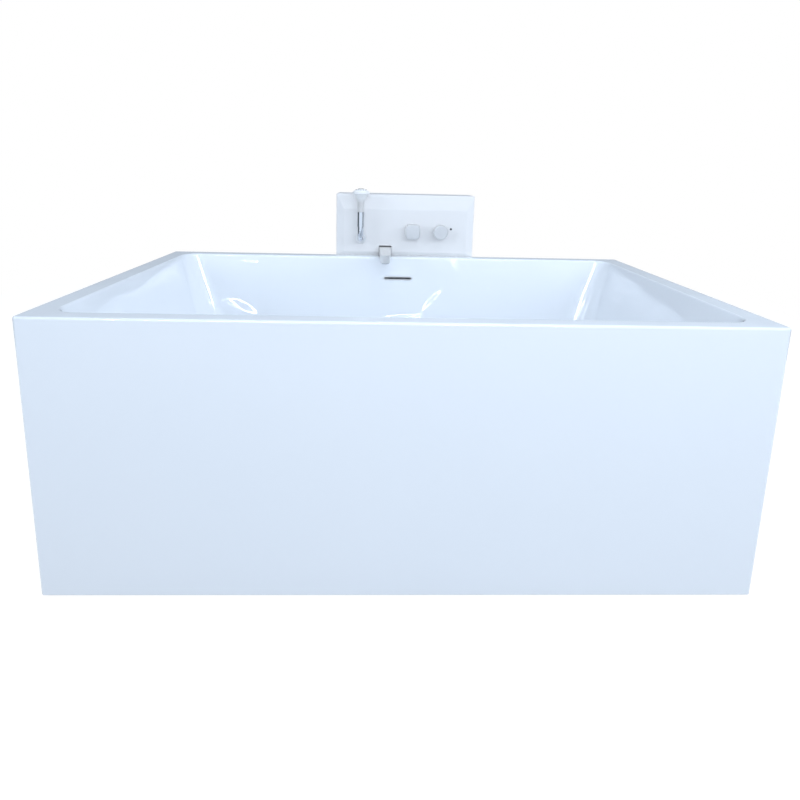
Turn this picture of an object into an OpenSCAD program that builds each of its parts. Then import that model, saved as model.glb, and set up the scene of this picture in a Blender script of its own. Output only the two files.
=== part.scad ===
// Freestanding rectangular bathtub with a filler console at its rear long side.
// X runs along the tub, Y runs from the bather's side to the console, Z is up.
// The origin is on the floor, under the centre of the tub.

/* [Tub] */
// Length of the tub over its ends
tub_l = 1500; // [1350:10:1800]
// Width of the tub over its long sides
tub_w = 800; // [740:10:900]
// Height of the rim above the floor
tub_h = 600; // [560:5:660]
// Thickness of the skirt
skirt_t = 5; // [4:0.5:7]
// Radius of the upright outer corners
corner_r = 9; // [8:1:20]
// Gap between the floor and the skirt's lower edge
skirt_gap = 4; // [2:1:8]

/* [Basin] */
// Thickness of the basin's acrylic
shell_t = 5; // [4:0.5:7]
// Width of the flat rim on the long sides
rim_side_w = 40; // [36:1:60]
// Width of the flat rim at the ends
rim_end_w = 50; // [44:1:90]
// Depth of the basin below the rim
basin_depth = 445; // [400:5:460]
// Slope of the end walls from upright, in degrees
end_slope = 17; // [10:1:22]
// Slope of the long walls from upright, in degrees
side_slope = 7; // [4:1:9]
// Radius between an end wall and the floor
end_fillet_r = 150; // [100:5:180]
// Radius between a long wall and the floor
side_fillet_r = 90; // [60:5:110]
// Corner radius of the basin's mouth, seen from above
mouth_corner_r = 45; // [30:1:60]
// Corner radius of the basin's floor, seen from above
floor_corner_r = 110; // [80:5:130]
// Height of the lip that is bonded inside the skirt
lip_h = 30; // [20:1:40]
// Thickness of that lip
lip_t = 4; // [3:0.5:5]
// Bond line between the lip and the skirt
bond_gap = 0.3; // [0.2:0.1:0.6]

/* [Frame] */
// Width of a rim batten
batten_w = 18; // [12:1:20]
// Height of a rim batten
batten_h = 25; // [15:1:30]
// Distance between a rim batten's end and the nearest corner
batten_end = 110; // [80:5:200]
// Thickness of the board under the floor
board_t = 16; // [12:1:18]
// Distance from the edge of the flat floor to the board
board_inset = 12; // [5:1:30]
// Width and height of the square steel tube
tube_w = 25; // [20:1:30]
// Wall of the square steel tube
tube_t = 2; // [1.5:0.5:3]
// Distance from the skirt's outer face to a rail's centre
rail_inset = 70; // [60:1:90]
// Distance from the end of the tub to the end of a rail
rail_end = 98; // [80:1:150]
// Distance from the centre to the inner cross members
inner_cross_x = 150; // [130:5:220]
// Distance from the centre to the outer cross members
outer_cross_x = 370; // [300:5:390]
// Distance from the centre to the corner feet, along the tub
foot_x = 560; // [500:5:570]
// Side of the centre foot's plate
foot_plate_w = 80; // [60:2:90]
// Thickness of the centre foot's plate
foot_plate_t = 6; // [4:1:8]
// Radius of a foot's threaded stud
stud_r = 6; // [5:0.5:7]
// Radius of a foot's pad
pad_r = 25; // [20:1:35]
// Height of a foot's pad
pad_h = 12; // [10:1:16]
// Distance from the middle to the brackets on the long sides
side_bracket_x = 450; // [400:10:480]
// Distance from the middle to the brackets at the ends
end_bracket_y = 180; // [100:10:240]
// Width of a skirt bracket
bracket_w = 30; // [24:1:40]
// Thickness of a skirt bracket
bracket_t = 3; // [2:0.5:4]
// Height of a skirt bracket
bracket_h = 40; // [30:1:60]

/* [Waste] */
// Distance from the mouth's edge on the console side to the drain's centre
drain_in = 230; // [220:5:250]
// Radius of the drain's threaded tube
drain_tube_r = 24; // [22:0.5:26]
// Inner radius of the drain's tube
drain_bore_r = 20; // [18:0.5:20.5]
// Radius of the drain's flange
drain_flange_r = 36; // [34:1:38]
// Thickness of the drain's flange
drain_flange_t = 3; // [2:0.5:4]
// Length of the drain's tube below its flange
drain_tube_len = 49; // [46:1:52]
// Radius of the plug's cap
plug_r = 32; // [30:1:34]
// Height of the plug's domed cap
plug_h = 5; // [4:0.5:8]
// Outer radius of the waste tee
tee_r = 29; // [28:0.5:32]
// Outer radius of the tailpiece
tail_r = 20; // [16:0.5:20.5]
// Wall of the tailpiece
tail_t = 2.5; // [2:0.5:3]
// Gap between the floor and the end of the tailpiece
tail_gap = 6; // [4:1:8]

/* [Overflow] */
// Distance from the rim down to the overflow slot
slot_drop = 70; // [60:1:90]
// Width of the overflow slot
slot_w = 88; // [70:1:100]
// Height of the overflow slot
slot_h = 6.5; // [6:0.5:10]
// Wall of the slot's trim
trim_t = 1.2; // [1:0.1:1.5]
// Width of the trim's lip around the slot
trim_lip = 2.5; // [1.5:0.5:4]
// Height of the overflow box
box_h = 44; // [40:1:50]
// Gap between the overflow box and the skirt
box_gap = 7; // [4:1:8]
// Outer radius of the overflow pipe
overflow_r = 14; // [12:0.5:14.5]
// Wall of the overflow pipe
overflow_t = 2; // [1.5:0.5:2.5]
// Bend radius of the overflow pipe
overflow_bend_r = 40; // [36:1:44]

/* [Console] */
// Width of the console
console_w = 462; // [450:2:560]
// Depth of the console
console_d = 90; // [86:1:130]
// Height of the console above the rim
console_rise = 205; // [196:1:260]
// Distance from the tub's middle to the console's middle
console_x = 22; // [-40:1:40]
// Gap between the skirt and the console
console_gap = 8; // [4:1:12]
// Wall of the console's housing
console_t = 3; // [2:0.5:4]
// Height of the pads under the console
console_foot_h = 6; // [4:1:10]
// Width of the flange that the back cover rests on
cover_flange_w = 15; // [12:1:20]
// Height of the lower fixing bolts above the floor
low_bolt_z = 200; // [180:10:260]
// Height of the upper fixing bolts above the floor
high_bolt_z = 490; // [420:10:500]
// Distance from the console's middle to a fixing bolt
bolt_x = 150; // [120:5:180]

/* [Fascia] */
// How far the fascia stands out from the housing
fascia_rise = 20; // [16:1:26]
// Depth of the fascia's straight edges behind its bevels
fascia_lip = 12; // [4:1:14]
// Wall of the fascia
fascia_t = 3; // [2.5:0.5:4]
// Width of the upper bevel
bevel_top = 50; // [40:1:55]
// Width of the side bevels
bevel_side = 25; // [15:1:30]
// Width of the lower bevel
bevel_low = 12; // [10:1:16]
// Gap between the rim's level and the fascia
fascia_gap = 3; // [2:0.5:6]
// Thickness of the mounting plate behind the fascia
plate_t = 3; // [2:0.5:4]
// Radius of the index dot
index_r = 3.5; // [2:0.5:5]

/* [Valve] */
// Distance from the console's middle to the flow knob
flow_dx = 25; // [20:1:36]
// Distance from the console's middle to the temperature knob
temperature_dx = 118; // [104:1:124]
// Diameter of the knobs
knob_d = 48; // [42:1:52]
// Corner radius of the flow knob
knob_corner_r = 14; // [8:1:20]
// Thickness of the knobs
knob_t = 25; // [20:1:28]
// Gap between a knob and its collar
knob_gap = 0.5; // [0.3:0.1:1]
// Radius of the knobs' spindles
spindle_r = 5; // [4:0.5:6]
// Radius of the cartridges
cartridge_r = 13; // [12:0.5:14]
// Radius of the valve's body
valve_r = 20; // [18:0.5:21]
// Distance from the mounting plate to the valve's axis
valve_set = 36; // [34:1:40]
// Outer radius of the water pipes
pipe_r = 7.5; // [6:0.5:8]
// Wall of the water pipes
pipe_t = 1; // [0.8:0.1:1.5]
// Radius of an inlet's threaded socket
inlet_r = 9.3; // [8:0.1:10]
// Depth of an inlet's threaded socket
inlet_depth = 16; // [12:1:20]
// Height of the inlets' mouths above the floor
inlet_z = 60; // [50:5:120]

/* [Spout] */
// Distance from the console's middle to the spout
spout_dx = -66; // [-72:1:-60]
// Height above the rim of the spout's upper face at the console
spout_rise = 32; // [30:1:40]
// Width of the spout at the console
spout_root_w = 42; // [36:1:44]
// Radius of the spout's rounded nose
spout_nose_r = 15; // [13:0.5:17]
// Reach of the spout in front of the fascia
spout_reach = 138; // [120:1:180]
// Height of the spout at the console
spout_root_h = 24; // [22:1:26]
// Height of the spout at its nose
spout_nose_h = 25; // [22:1:27]
// Radius of the aerator
aerator_r = 11; // [9:0.5:11.5]

/* [Hand shower] */
// Distance from the console's middle to the hand shower
handset_dx = -148; // [-152:1:-140]
// Distance from the fascia to the hand shower's axis
handset_set = 32; // [30:1:40]
// Height above the rim of the holder's upper edge
holder_rise = 142; // [130:1:150]
// Radius of the holder's tube
holder_r = 10; // [9:0.5:11]
// Bend radius of the holder
holder_bend_r = 16; // [14:1:20]
// Height above the rim of the holder's level tube
holder_low = 58; // [54:1:62]
// Depth of the holder's cup
cup_depth = 40; // [30:1:44]
// Radius of the spigot that stands in the cup
spigot_r = 8.5; // [7:0.5:8.5]
// Radius of the hand shower's grip
grip_r = 11.4; // [11:0.1:14]
// Length of the hand shower above the holder
handset_l = 82; // [76:1:120]
// Radius of the hand shower's head
head_r = 28; // [24:0.5:30]
// Height of the head's domed end
dome_h = 12; // [9:0.5:16]

/* [Hidden] */

$fn = 64;

// Colours
tub_white = "#e6f0fa";
console_grey = "#d0d9e4";
chrome = "#c9ced6";
satin = "#c3c6cf";
brass = "#c8a558";
copper = "#c47a4e";
steel = "#9aa0a6";
timber = "#c9a878";
rubber = "#2b2d30";
plastic = "#eceff1";
dark = "#33363c";

// Overrun of a cut past the face that it opens
over = 1;
// Radial gap of a part that is screwed or bonded into its hole
seat_gap = 0.05;
// Radial gap around a screw or a stud that passes through a hole
hole_gap = 0.3;
// Gap between pieces that move past each other
move_gap = 0.3;
// Straight stretches in a dome's profile
dome_steps = 8;

// Levels under the basin
floor_z = tub_h - basin_depth;
under_z = floor_z - shell_t;
frame_top_z = under_z - board_t;
frame_low_z = frame_top_z - tube_w;

// Half sizes of the basin's mouth and of the skirt's inside
mouth_x = tub_l / 2 - rim_end_w;
mouth_y = tub_w / 2 - rim_side_w;
skirt_in_x = tub_l / 2 - skirt_t;
skirt_in_y = tub_w / 2 - skirt_t;
skirt_top_z = tub_h - shell_t;
lip_out_x = skirt_in_x - bond_gap;
lip_out_y = skirt_in_y - bond_gap;
inner_corner_r = corner_r - skirt_t;

// Distance from the middle at which a sloped wall turns into its fillet's centre
function fillet_centre(half, slope, r, low_z) =
    half - (tub_h - low_z - r * (1 - sin(slope))) * tan(slope) - r * cos(slope);

// Half width of the basin at a height, down a straight slope and round a fillet
function half_at(z, half, slope, r, low_z) =
    z >= low_z + r * (1 - sin(slope))
        ? half - (tub_h - z) * tan(slope)
        : fillet_centre(half, slope, r, low_z)
            + sqrt(max(0, r * r - pow(low_z + r - z, 2)));

// Corner radius of the basin in plan, which grows with the depth
function plan_corner(z) =
    mouth_corner_r + (floor_corner_r - mouth_corner_r) * (tub_h - z) / basin_depth;

flat_x = fillet_centre(mouth_x, end_slope, end_fillet_r, floor_z);
flat_y = fillet_centre(mouth_y, side_slope, side_fillet_r, floor_z);
board_x = flat_x - board_inset;
board_y = flat_y - board_inset;

// Rails and feet
rail_y = tub_w / 2 - rail_inset;
rail_x = tub_l / 2 - rail_end;
end_cross_x = rail_x - tube_w / 2;
cross_len = 2 * rail_y - tube_w;
nut_h = 10;
nut_r = stud_r * 1.7;
stud_low_z = 4;
foot_boss_h = 14;
foot_boss_r = stud_r + 6;
foot_screw_r = 2.5;
board_screw_r = 3;
board_screw_y = 120;
bracket_screw_r = 2;
screw_bite = 3.5;
board_skin = 4;
board_screw_end = board_skin + 1;
plate_hole_edge = 10;
stud_proud = 3;

// Waste, from the plug's cap down to the tailpiece
drain_y = mouth_y - drain_in;
gasket_t = 2;
washer_t = 3;
flange_low_z = floor_z + gasket_t;
flange_top_z = flange_low_z + drain_flange_t;
tube_end_z = flange_low_z - drain_tube_len;
drain_hole_r = drain_tube_r + 2;
drain_nut_r = drain_tube_r + 9;
drain_nut_h = 12;
board_hole_r = drain_flange_r + 4;
spider_z = tube_end_z + 4;
spider_t = 4;
spider_web = 3;
stem_low_gap = 6;
hub_r = 8;
stem_r = 3;
cartridge_barrel_r = 7;
cartridge_top_z = flange_low_z - 10;
seal_t = 2;
plug_edge_h = 1.5;
seal_low_z = flange_top_z + move_gap;
cap_low_z = seal_low_z + seal_t;
tee_socket = 18;
tee_top_z = tube_end_z + tee_socket;
branch_z = tube_end_z - 22;
tail_top_z = branch_z - 20;
tail_socket = 16;
tail_clear = 10;
tail_neck_r = tail_r - 0.5;
tee_low_z = tail_top_z - tail_socket;
chamber_r = drain_tube_r - 2;
branch_r = overflow_r + 4;
branch_len = 60;
branch_socket = 28;
tail_nut_h = 12;
tail_nut_r = tail_neck_r + 7;
tail_free = tee_low_z - tail_nut_h - tail_clear - tail_gap;

// Overflow
slot_z = tub_h - slot_drop;
slot_wall_y = half_at(slot_z, mouth_y, side_slope, side_fillet_r, floor_z);
shell_skew = shell_t / cos(side_slope);
box_w = slot_w + 36;
box_low_z = slot_z - box_h / 2;
box_top_z = slot_z + box_h / 2;
box_wall = 2.5;
gasket_thin = 1.5;
box_front_y = half_at(box_top_z, mouth_y, side_slope, side_fillet_r, floor_z) + shell_skew + gasket_thin;
box_back_y = skirt_in_y - box_gap;
overflow_y = (box_front_y + box_back_y) / 2;
spigot_len = 20;
spigot_wall = 2.5;

// Console
console_front_y = tub_w / 2 + console_gap;
console_back_y = console_front_y + console_d;
console_top_z = tub_h + console_rise;
console_half = console_w / 2;
sheet_back_y = console_front_y + console_t;
plate_back_y = sheet_back_y + plate_t;
cover_gap = 0.5;
cover_front_y = console_back_y - console_t;
flange_front_y = cover_front_y - console_t;
tray_t = 3;
tray_z = console_foot_h;
tab_h = 30;
tab_screw_in = 25;
cover_screw_in = 60;
plate_screw_in = 30;
cover_flange_low = 40;
pad_inset = 24;
spacer_w = 30;
bolt_r = 3;
bolt_head_r = 6;
bolt_head_h = 4;
bolt_nut_h = 5;
bolt_proud = 3;

// Fascia, with the spout's height where it passes through
spout_top_z = tub_h + spout_rise;
spout_low_z = spout_top_z - spout_root_h;
spout_clear = 1;
fascia_low_z = tub_h + fascia_gap;
face_y = console_front_y - fascia_rise;
face_half = console_half - bevel_side;
face_low_z = fascia_low_z + bevel_low;
face_top_z = console_top_z - bevel_top;
knob_z = (face_low_z + face_top_z) / 2;
window_half = console_half - 12;
window_low_z = spout_low_z - spout_clear;
window_top_z = console_top_z - 9;
boss_r = 5;
boss_bite = 10;
boss_dz = 50;
boss_in = 15;
plate_half = console_half - console_t - cover_gap;
plate_low_z = window_low_z - 11;
plate_top_z = console_top_z - console_t - cover_gap;
index_dx = 36;
index_dz = 9;
index_sunk = 0.5;
index_t = 1.5;

// Valve
flow_x = console_x + flow_dx;
temperature_x = console_x + temperature_dx;
valve_y = plate_back_y + valve_set;
valve_end = 44;
valve_boss_r = cartridge_r + 5;
cartridge_back_y = plate_back_y + 28;
cartridge_front_y = face_y + 10;
cartridge_nut_h = 7;
cartridge_nut_r = cartridge_r + 6;
cartridge_wall_r = cartridge_r + 3;
collar_t = 3;
collar_gap = 4;
knob_edge_r = 3;
collar_r = knob_d / 2 + 2;
knob_back_y = face_y - collar_t - knob_gap;
knob_front_y = knob_back_y - knob_t;
spindle_front_y = knob_front_y + 5;
spindle_back_y = cartridge_back_y - 10;
spindle_gap = 0.05;
cold_x = temperature_x + 28;
hot_x = flow_x - 28;
inlet_drop = 36;
stub_wall = 3;
pipe_end_gap = 0.5;
inlet_socket = 12;
union_r = inlet_r + 4;
union_h = 44;

// Spout
spout_x = console_x + spout_dx;
nose_top_z = spout_top_z - 10;
nose_low_z = nose_top_z - spout_nose_h;
nose_y = face_y - spout_reach + spout_nose_r;
spout_gap = 4;
shank_r = 8;
shank_len = 25;
shank_z = (spout_top_z + spout_low_z) / 2;
channel_r = 5.5;
aerator_h = 6;
aerator_proud = 2;
fitting_nut_h = 6;

// Hand shower
handset_x = console_x + handset_dx;
handset_y = face_y - handset_set;
holder_top_z = tub_h + holder_rise;
holder_low_z = tub_h + holder_low;
cup_low_z = holder_top_z - cup_depth;
cup_r = spigot_r + 0.1;
cup_wall_r = spigot_r + 2.9;
hose_r = 6;
rosette_r = 17;
connector_h = 6;
grip_z = holder_top_z + move_gap + connector_h;
handset_top_z = holder_top_z + handset_l;
plate_z = handset_top_z - dome_h;
flare_h = 34;
flare_z = plate_z - flare_h;
nozzle_r = 1.1;
nozzle_proud = 1.5;
nozzle_pitch = head_r * 0.3;
nozzle_back = 1;

// ---------- Shapes that several pieces share ----------

// Points of a shallow dome's profile, from its edge up to its middle
function dome_curve(r, edge_z, top_z) =
    let (rise = top_z - edge_z, ball = (r * r + rise * rise) / (2 * rise), sweep = asin(r / ball))
        [for (i = [0 : dome_steps]) let (a = sweep * (1 - i / dome_steps))
            [ball * sin(a), top_z - ball * (1 - cos(a))]];

// Rectangle with round corners, about the origin
module round_rect(l, w, r) {
    square([l - 2 * r, w], center = true);
    square([l, w - 2 * r], center = true);
    for (sx = [-1, 1], sy = [-1, 1]) {
        translate([sx * (l / 2 - r), sy * (w / 2 - r)]) circle(r = r);
    }
}

// Outline of a slot with round ends, about the origin
module slot_outline(w, h) {
    square([w - h, h], center = true);
    for (s = [-1, 1]) {
        translate([s * (w - h) / 2, 0]) circle(d = h);
    }
}

// Box between two corners
module block(low, high) {
    translate(low) cube(high - low);
}

// Ring that stands on the level z
module ring(r_out, r_in, h) {
    difference() {
        cylinder(r = r_out, h = h);
        translate([0, 0, -over]) cylinder(r = r_in, h = h + 2 * over);
    }
}

// Round bar between two points
module rod(from, to, r) {
    run = to - from;
    translate(from)
        rotate([0, acos(run.z / norm(run)), atan2(run.y, run.x)])
            cylinder(r = r, h = norm(run));
}

// Solid of a pipe through a list of points, with ball-shaped corners
module pipe_run(points, r) {
    for (i = [1 : len(points) - 1]) {
        rod(points[i - 1], points[i], r);
    }
    for (i = [1 : len(points) - 2]) {
        translate(points[i]) sphere(r = r);
    }
}

// Hollow pipe through a list of points
module pipe(points, r, wall) {
    last = len(points) - 1;
    head = (points[0] - points[1]) / norm(points[0] - points[1]);
    tail = (points[last] - points[last - 1]) / norm(points[last] - points[last - 1]);
    difference() {
        pipe_run(points, r);
        pipe_run(points, r - wall);
        rod(points[0] - head, points[0] + head, r - wall);
        rod(points[last] - tail, points[last] + tail, r - wall);
    }
}

// Turns a piece that is drawn up from z = 0 so that it grows towards the bather
module forward(x, y, z) {
    translate([x, y, z]) rotate([90, 0, 0]) children();
}

// Turns a piece that is drawn up from z = 0 so that it grows towards the rear
module rearward(x, y, z) {
    translate([x, y, z]) rotate([-90, 0, 0]) children();
}

// Places a piece on the rear basin wall at the slot, with +Z into the basin
module at_slot() {
    translate([0, slot_wall_y, slot_z]) rotate([90 - side_slope, 0, 0]) children();
}

// ---------- Tub ----------

// Solid between the basin's mouth and its floor, grown by the shell's thickness on the outside
module basin_form(grow, top_z) {
    low_z = floor_z - grow;
    half_x = mouth_x + grow / cos(end_slope);
    half_y = mouth_y + grow / cos(side_slope);
    end_r = end_fillet_r + grow;
    side_r = side_fillet_r + grow;
    steps = 8;
    bends = [for (i = [0 : steps]) low_z + end_r * (1 - sin(90 - (90 - end_slope) * i / steps))];
    film = 0.01;
    hull() {
        for (z = concat(bends, [top_z - film])) {
            r = plan_corner(min(z, tub_h)) + grow;
            x = half_at(z, half_x, end_slope, end_r, low_z) - r;
            y = half_at(z, half_y, side_slope, side_r, low_z) - r;
            for (sx = [-1, 1], sy = [-1, 1]) {
                translate([sx * x, sy * y, z]) cylinder(r = r, h = film, $fn = 40);
            }
        }
    }
}

// Acrylic basin with its flat rim and the lip that is bonded inside the skirt
module basin_shell() color(tub_white)
difference() {
    union() {
        translate([0, 0, skirt_top_z]) linear_extrude(shell_t) round_rect(tub_l, tub_w, corner_r);
        translate([0, 0, skirt_top_z - lip_h]) linear_extrude(lip_h) difference() {
            round_rect(2 * lip_out_x, 2 * lip_out_y, inner_corner_r);
            square([2 * (lip_out_x - lip_t), 2 * (lip_out_y - lip_t)], center = true);
        }
        basin_form(shell_t, tub_h - shell_t / 2);
    }
    basin_form(0, tub_h + over);
    translate([0, drain_y, under_z - over]) cylinder(r = drain_hole_r, h = shell_t + 2 * over);
    at_slot() translate([0, 0, -shell_t - over]) linear_extrude(shell_t + 2 * over)
        slot_outline(slot_w + 2 * (trim_t + seat_gap), slot_h + 2 * (trim_t + seat_gap));
}

// Four upright outer faces in one piece
module outer_skirt() color(tub_white)
difference() {
    translate([0, 0, skirt_gap]) linear_extrude(skirt_top_z - skirt_gap) difference() {
        round_rect(tub_l, tub_w, corner_r);
        round_rect(2 * skirt_in_x, 2 * skirt_in_y, inner_corner_r);
    }
    for (x = [-1, 1] * bolt_x, z = [low_bolt_z, high_bolt_z]) {
        rearward(console_x + x, skirt_in_y - over, z) cylinder(r = bolt_r + hole_gap, h = skirt_t + 2 * over);
    }
    each_bracket() rearward(0, -over, bracket_h / 2)
        cylinder(r = bracket_screw_r + seat_gap, h = over + screw_bite + seat_gap);
}

// Timber strips that stiffen the rim from below
module rim_battens() color(timber) {
    edge_gap = 2;
    low = skirt_top_z - batten_h;
    x_out = lip_out_x - lip_t - edge_gap;
    y_out = lip_out_y - lip_t - edge_gap;
    x_run = tub_l / 2 - batten_end;
    y_run = tub_w / 2 - batten_end;
    for (s = [-1, 1]) {
        translate([-x_run, s * (y_out - batten_w / 2) - batten_w / 2, low])
            cube([2 * x_run, batten_w, batten_h]);
        translate([s * (x_out - batten_w / 2) - batten_w / 2, -y_run, low])
            cube([batten_w, 2 * y_run, batten_h]);
    }
}

// Board that is bonded under the basin's floor
module base_board() color(timber)
difference() {
    block([-board_x, -board_y, frame_top_z], [board_x, board_y, under_z]);
    translate([0, drain_y, frame_top_z - over]) cylinder(r = board_hole_r, h = board_t + 2 * over);
    each_board_screw() cylinder(r = board_screw_r + seat_gap, h = board_t - board_skin);
    each_plate_screw() cylinder(r = foot_screw_r + seat_gap, h = board_t - board_skin);
}

// Places a child where each screw enters the board from a cross member
module each_board_screw() {
    for (x = [-outer_cross_x, -inner_cross_x, inner_cross_x, outer_cross_x], y = [-1, 1] * board_screw_y) {
        translate([x, y, frame_top_z]) children();
    }
}

// Places a child where each screw enters the board from the centre foot's plate
module each_plate_screw() {
    reach = foot_plate_w / 2 - plate_hole_edge;
    for (x = [-1, 1] * reach, y = [-1, 1] * reach) {
        translate([x, y, frame_top_z]) children();
    }
}

// Places a child at the skirt's inner face on top of the frame, with +Y out through the skirt.
// $tube_back is the distance from there back to the middle of the tube that the bracket stands on.
module each_bracket() {
    for (x = [-1, 1] * side_bracket_x, turn = [0, 180]) {
        $tube_back = skirt_in_y - rail_y;
        rotate([0, 0, turn]) translate([x, skirt_in_y, frame_top_z]) children();
    }
    for (y = [-1, 1] * end_bracket_y, turn = [-90, 90]) {
        $tube_back = skirt_in_x - end_cross_x;
        rotate([0, 0, turn]) translate([y, skirt_in_x, frame_top_z]) children();
    }
}

// Places a child on the floor under each corner foot
module each_corner_foot() {
    for (x = [-1, 1] * foot_x, y = [-1, 1] * rail_y) {
        translate([x, y, 0]) children();
    }
}

// Square tube along X, about the origin
module square_tube(length) {
    difference() {
        cube([length, tube_w, tube_w], center = true);
        cube([length + over, tube_w - 2 * tube_t, tube_w - 2 * tube_t], center = true);
    }
}

// Two long tubes that carry the corner feet
module frame_rails() color(steel)
difference() {
    for (s = [-1, 1]) {
        translate([0, s * rail_y, frame_top_z - tube_w / 2]) square_tube(2 * rail_x);
    }
    each_corner_foot() translate([0, 0, frame_low_z - over])
        cylinder(r = stud_r + hole_gap, h = tube_w + 2 * over);
    each_bracket() translate([0, -$tube_back, -tube_t - over])
        cylinder(r = bracket_screw_r + seat_gap, h = tube_t + 2 * over);
}

// Tubes between the rails, under the board and at both ends
module cross_members() color(steel)
difference() {
    for (s = [-1, 1], x = [inner_cross_x, outer_cross_x, end_cross_x]) {
        translate([s * x, 0, frame_top_z - tube_w / 2]) rotate([0, 0, 90]) square_tube(cross_len);
    }
    each_board_screw() translate([0, 0, -tube_w - over])
        cylinder(r = board_screw_r + hole_gap, h = tube_w + 2 * over);
    each_bracket() translate([0, -$tube_back, -tube_t - over])
        cylinder(r = bracket_screw_r + seat_gap, h = tube_t + 2 * over);
}

// Threaded plate for the centre foot
module foot_plate() color(steel)
difference() {
    union() {
        translate([-foot_plate_w / 2, -foot_plate_w / 2, frame_top_z - foot_plate_t])
            cube([foot_plate_w, foot_plate_w, foot_plate_t]);
        translate([0, 0, frame_top_z - foot_plate_t - foot_boss_h])
            cylinder(r = foot_boss_r, h = foot_boss_h);
    }
    translate([0, 0, frame_top_z - foot_plate_t - foot_boss_h - over])
        cylinder(r = stud_r + seat_gap, h = foot_plate_t + foot_boss_h + 2 * over);
    each_plate_screw() translate([0, 0, -foot_plate_t - over])
        cylinder(r = foot_screw_r + hole_gap, h = foot_plate_t + 2 * over);
}

// Threaded studs of the five feet
module foot_studs() color(steel) {
    each_corner_foot() translate([0, 0, stud_low_z])
        cylinder(r = stud_r, h = frame_top_z + nut_h + stud_proud - stud_low_z);
    translate([0, 0, stud_low_z]) cylinder(r = stud_r, h = frame_top_z - 4 - stud_low_z);
}

// Lock nuts above and below each rail, and below the centre foot's plate
module foot_nuts() color(steel) {
    each_corner_foot() for (z = [frame_low_z - nut_h, frame_top_z]) {
        translate([0, 0, z]) hex_nut(nut_r, stud_r + seat_gap, nut_h);
    }
    translate([0, 0, frame_top_z - foot_plate_t - foot_boss_h - nut_h])
        hex_nut(nut_r, stud_r + seat_gap, nut_h);
}

// Hexagonal nut that stands on the level z
module hex_nut(r_out, r_in, h) {
    difference() {
        cylinder(r = r_out, h = h, $fn = 6);
        translate([0, 0, -over]) cylinder(r = r_in, h = h + 2 * over);
    }
}

// Pads that stand on the floor
module foot_pads() color(rubber) {
    each_corner_foot() foot_pad();
    foot_pad();
}

module foot_pad() {
    difference() {
        cylinder(r = pad_r, h = pad_h);
        translate([0, 0, stud_low_z]) cylinder(r = stud_r + seat_gap, h = pad_h);
    }
}

// Angles that hold the skirt's lower part to the frame
module skirt_brackets() color(steel)
difference() {
    each_bracket() skirt_bracket($tube_back + tube_w / 2);
    each_bracket() translate([0, -$tube_back, -over])
        cylinder(r = bracket_screw_r + seat_gap, h = bracket_t + 2 * over);
    each_bracket() rearward(0, -bracket_t - over, bracket_h / 2)
        cylinder(r = bracket_screw_r + seat_gap, h = bracket_t + 2 * over);
}

// One angle: its foot lies on the tube, its leg stands against the skirt
module skirt_bracket(reach) {
    translate([-bracket_w / 2, -reach, 0]) cube([bracket_w, reach, bracket_t]);
    translate([-bracket_w / 2, -bracket_t, 0]) cube([bracket_w, bracket_t, bracket_h]);
}

// Pan-head screw that is driven along +Z, with its head below the level z
module screw(r, length) {
    cylinder(r = r, h = length);
    translate([0, 0, -1.2 * r]) cylinder(r = 2 * r, h = 1.2 * r);
}

// Screws of the cross members, the centre foot's plate and the skirt's brackets
module frame_screws() color(steel) {
    each_board_screw() translate([0, 0, -tube_w]) screw(board_screw_r, tube_w + board_t - board_screw_end);
    each_plate_screw() translate([0, 0, -foot_plate_t])
        screw(foot_screw_r, foot_plate_t + board_t - board_screw_end);
    each_bracket() translate([0, -$tube_back, bracket_t]) mirror([0, 0, 1])
        screw(bracket_screw_r, bracket_t + tube_t + 2);
    each_bracket() rearward(0, -bracket_t, bracket_h / 2) screw(bracket_screw_r, bracket_t + screw_bite);
}

// ---------- Waste ----------

// Flange and threaded tube, with the spider that carries the plug's cartridge
module drain_flange() color(chrome) translate([0, drain_y, 0]) {
    translate([0, 0, flange_low_z]) ring(drain_flange_r, drain_bore_r, drain_flange_t);
    translate([0, 0, tube_end_z]) ring(drain_tube_r, drain_bore_r, flange_low_z - tube_end_z);
    translate([0, 0, spider_z]) difference() {
        union() {
            cylinder(r = hub_r, h = spider_t);
            for (turn = [0, 90]) {
                rotate([0, 0, turn]) translate([-drain_bore_r - 1, -spider_web / 2, 0])
                    cube([2 * drain_bore_r + 2, spider_web, spider_t]);
            }
        }
        translate([0, 0, -over]) cylinder(r = stem_r, h = spider_t + 2 * over);
    }
}

// Seal between the flange and the basin's floor
module drain_gasket() color(rubber) translate([0, drain_y, floor_z])
    ring(drain_flange_r - 1, drain_tube_r + hole_gap, gasket_t);

// Seal between the basin's underside and the drain's nut
module drain_washer() color(rubber) translate([0, drain_y, under_z - washer_t])
    ring(drain_nut_r, drain_tube_r + hole_gap, washer_t);

// Nut that clamps the drain from below
module drain_nut() color(plastic) translate([0, drain_y, under_z - washer_t - drain_nut_h])
    hex_nut(drain_nut_r, drain_tube_r + seat_gap, drain_nut_h);

// Push-push cartridge that latches the plug down
module click_cartridge() color(brass) translate([0, drain_y, 0]) {
    base_z = spider_z + spider_t;
    difference() {
        translate([0, 0, base_z]) cylinder(r = cartridge_barrel_r, h = cartridge_top_z - base_z);
        translate([0, 0, base_z + 4]) cylinder(r = stem_r + spindle_gap, h = cartridge_top_z);
    }
    translate([0, 0, spider_z - 2]) cylinder(r = stem_r - seat_gap, h = spider_t + 2);
}

// Stem of the plug, which slides in the cartridge
module plug_stem() color(chrome) translate([0, drain_y, spider_z + spider_t + stem_low_gap])
    cylinder(r = stem_r, h = cap_low_z - spider_z - spider_t - stem_low_gap);

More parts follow.
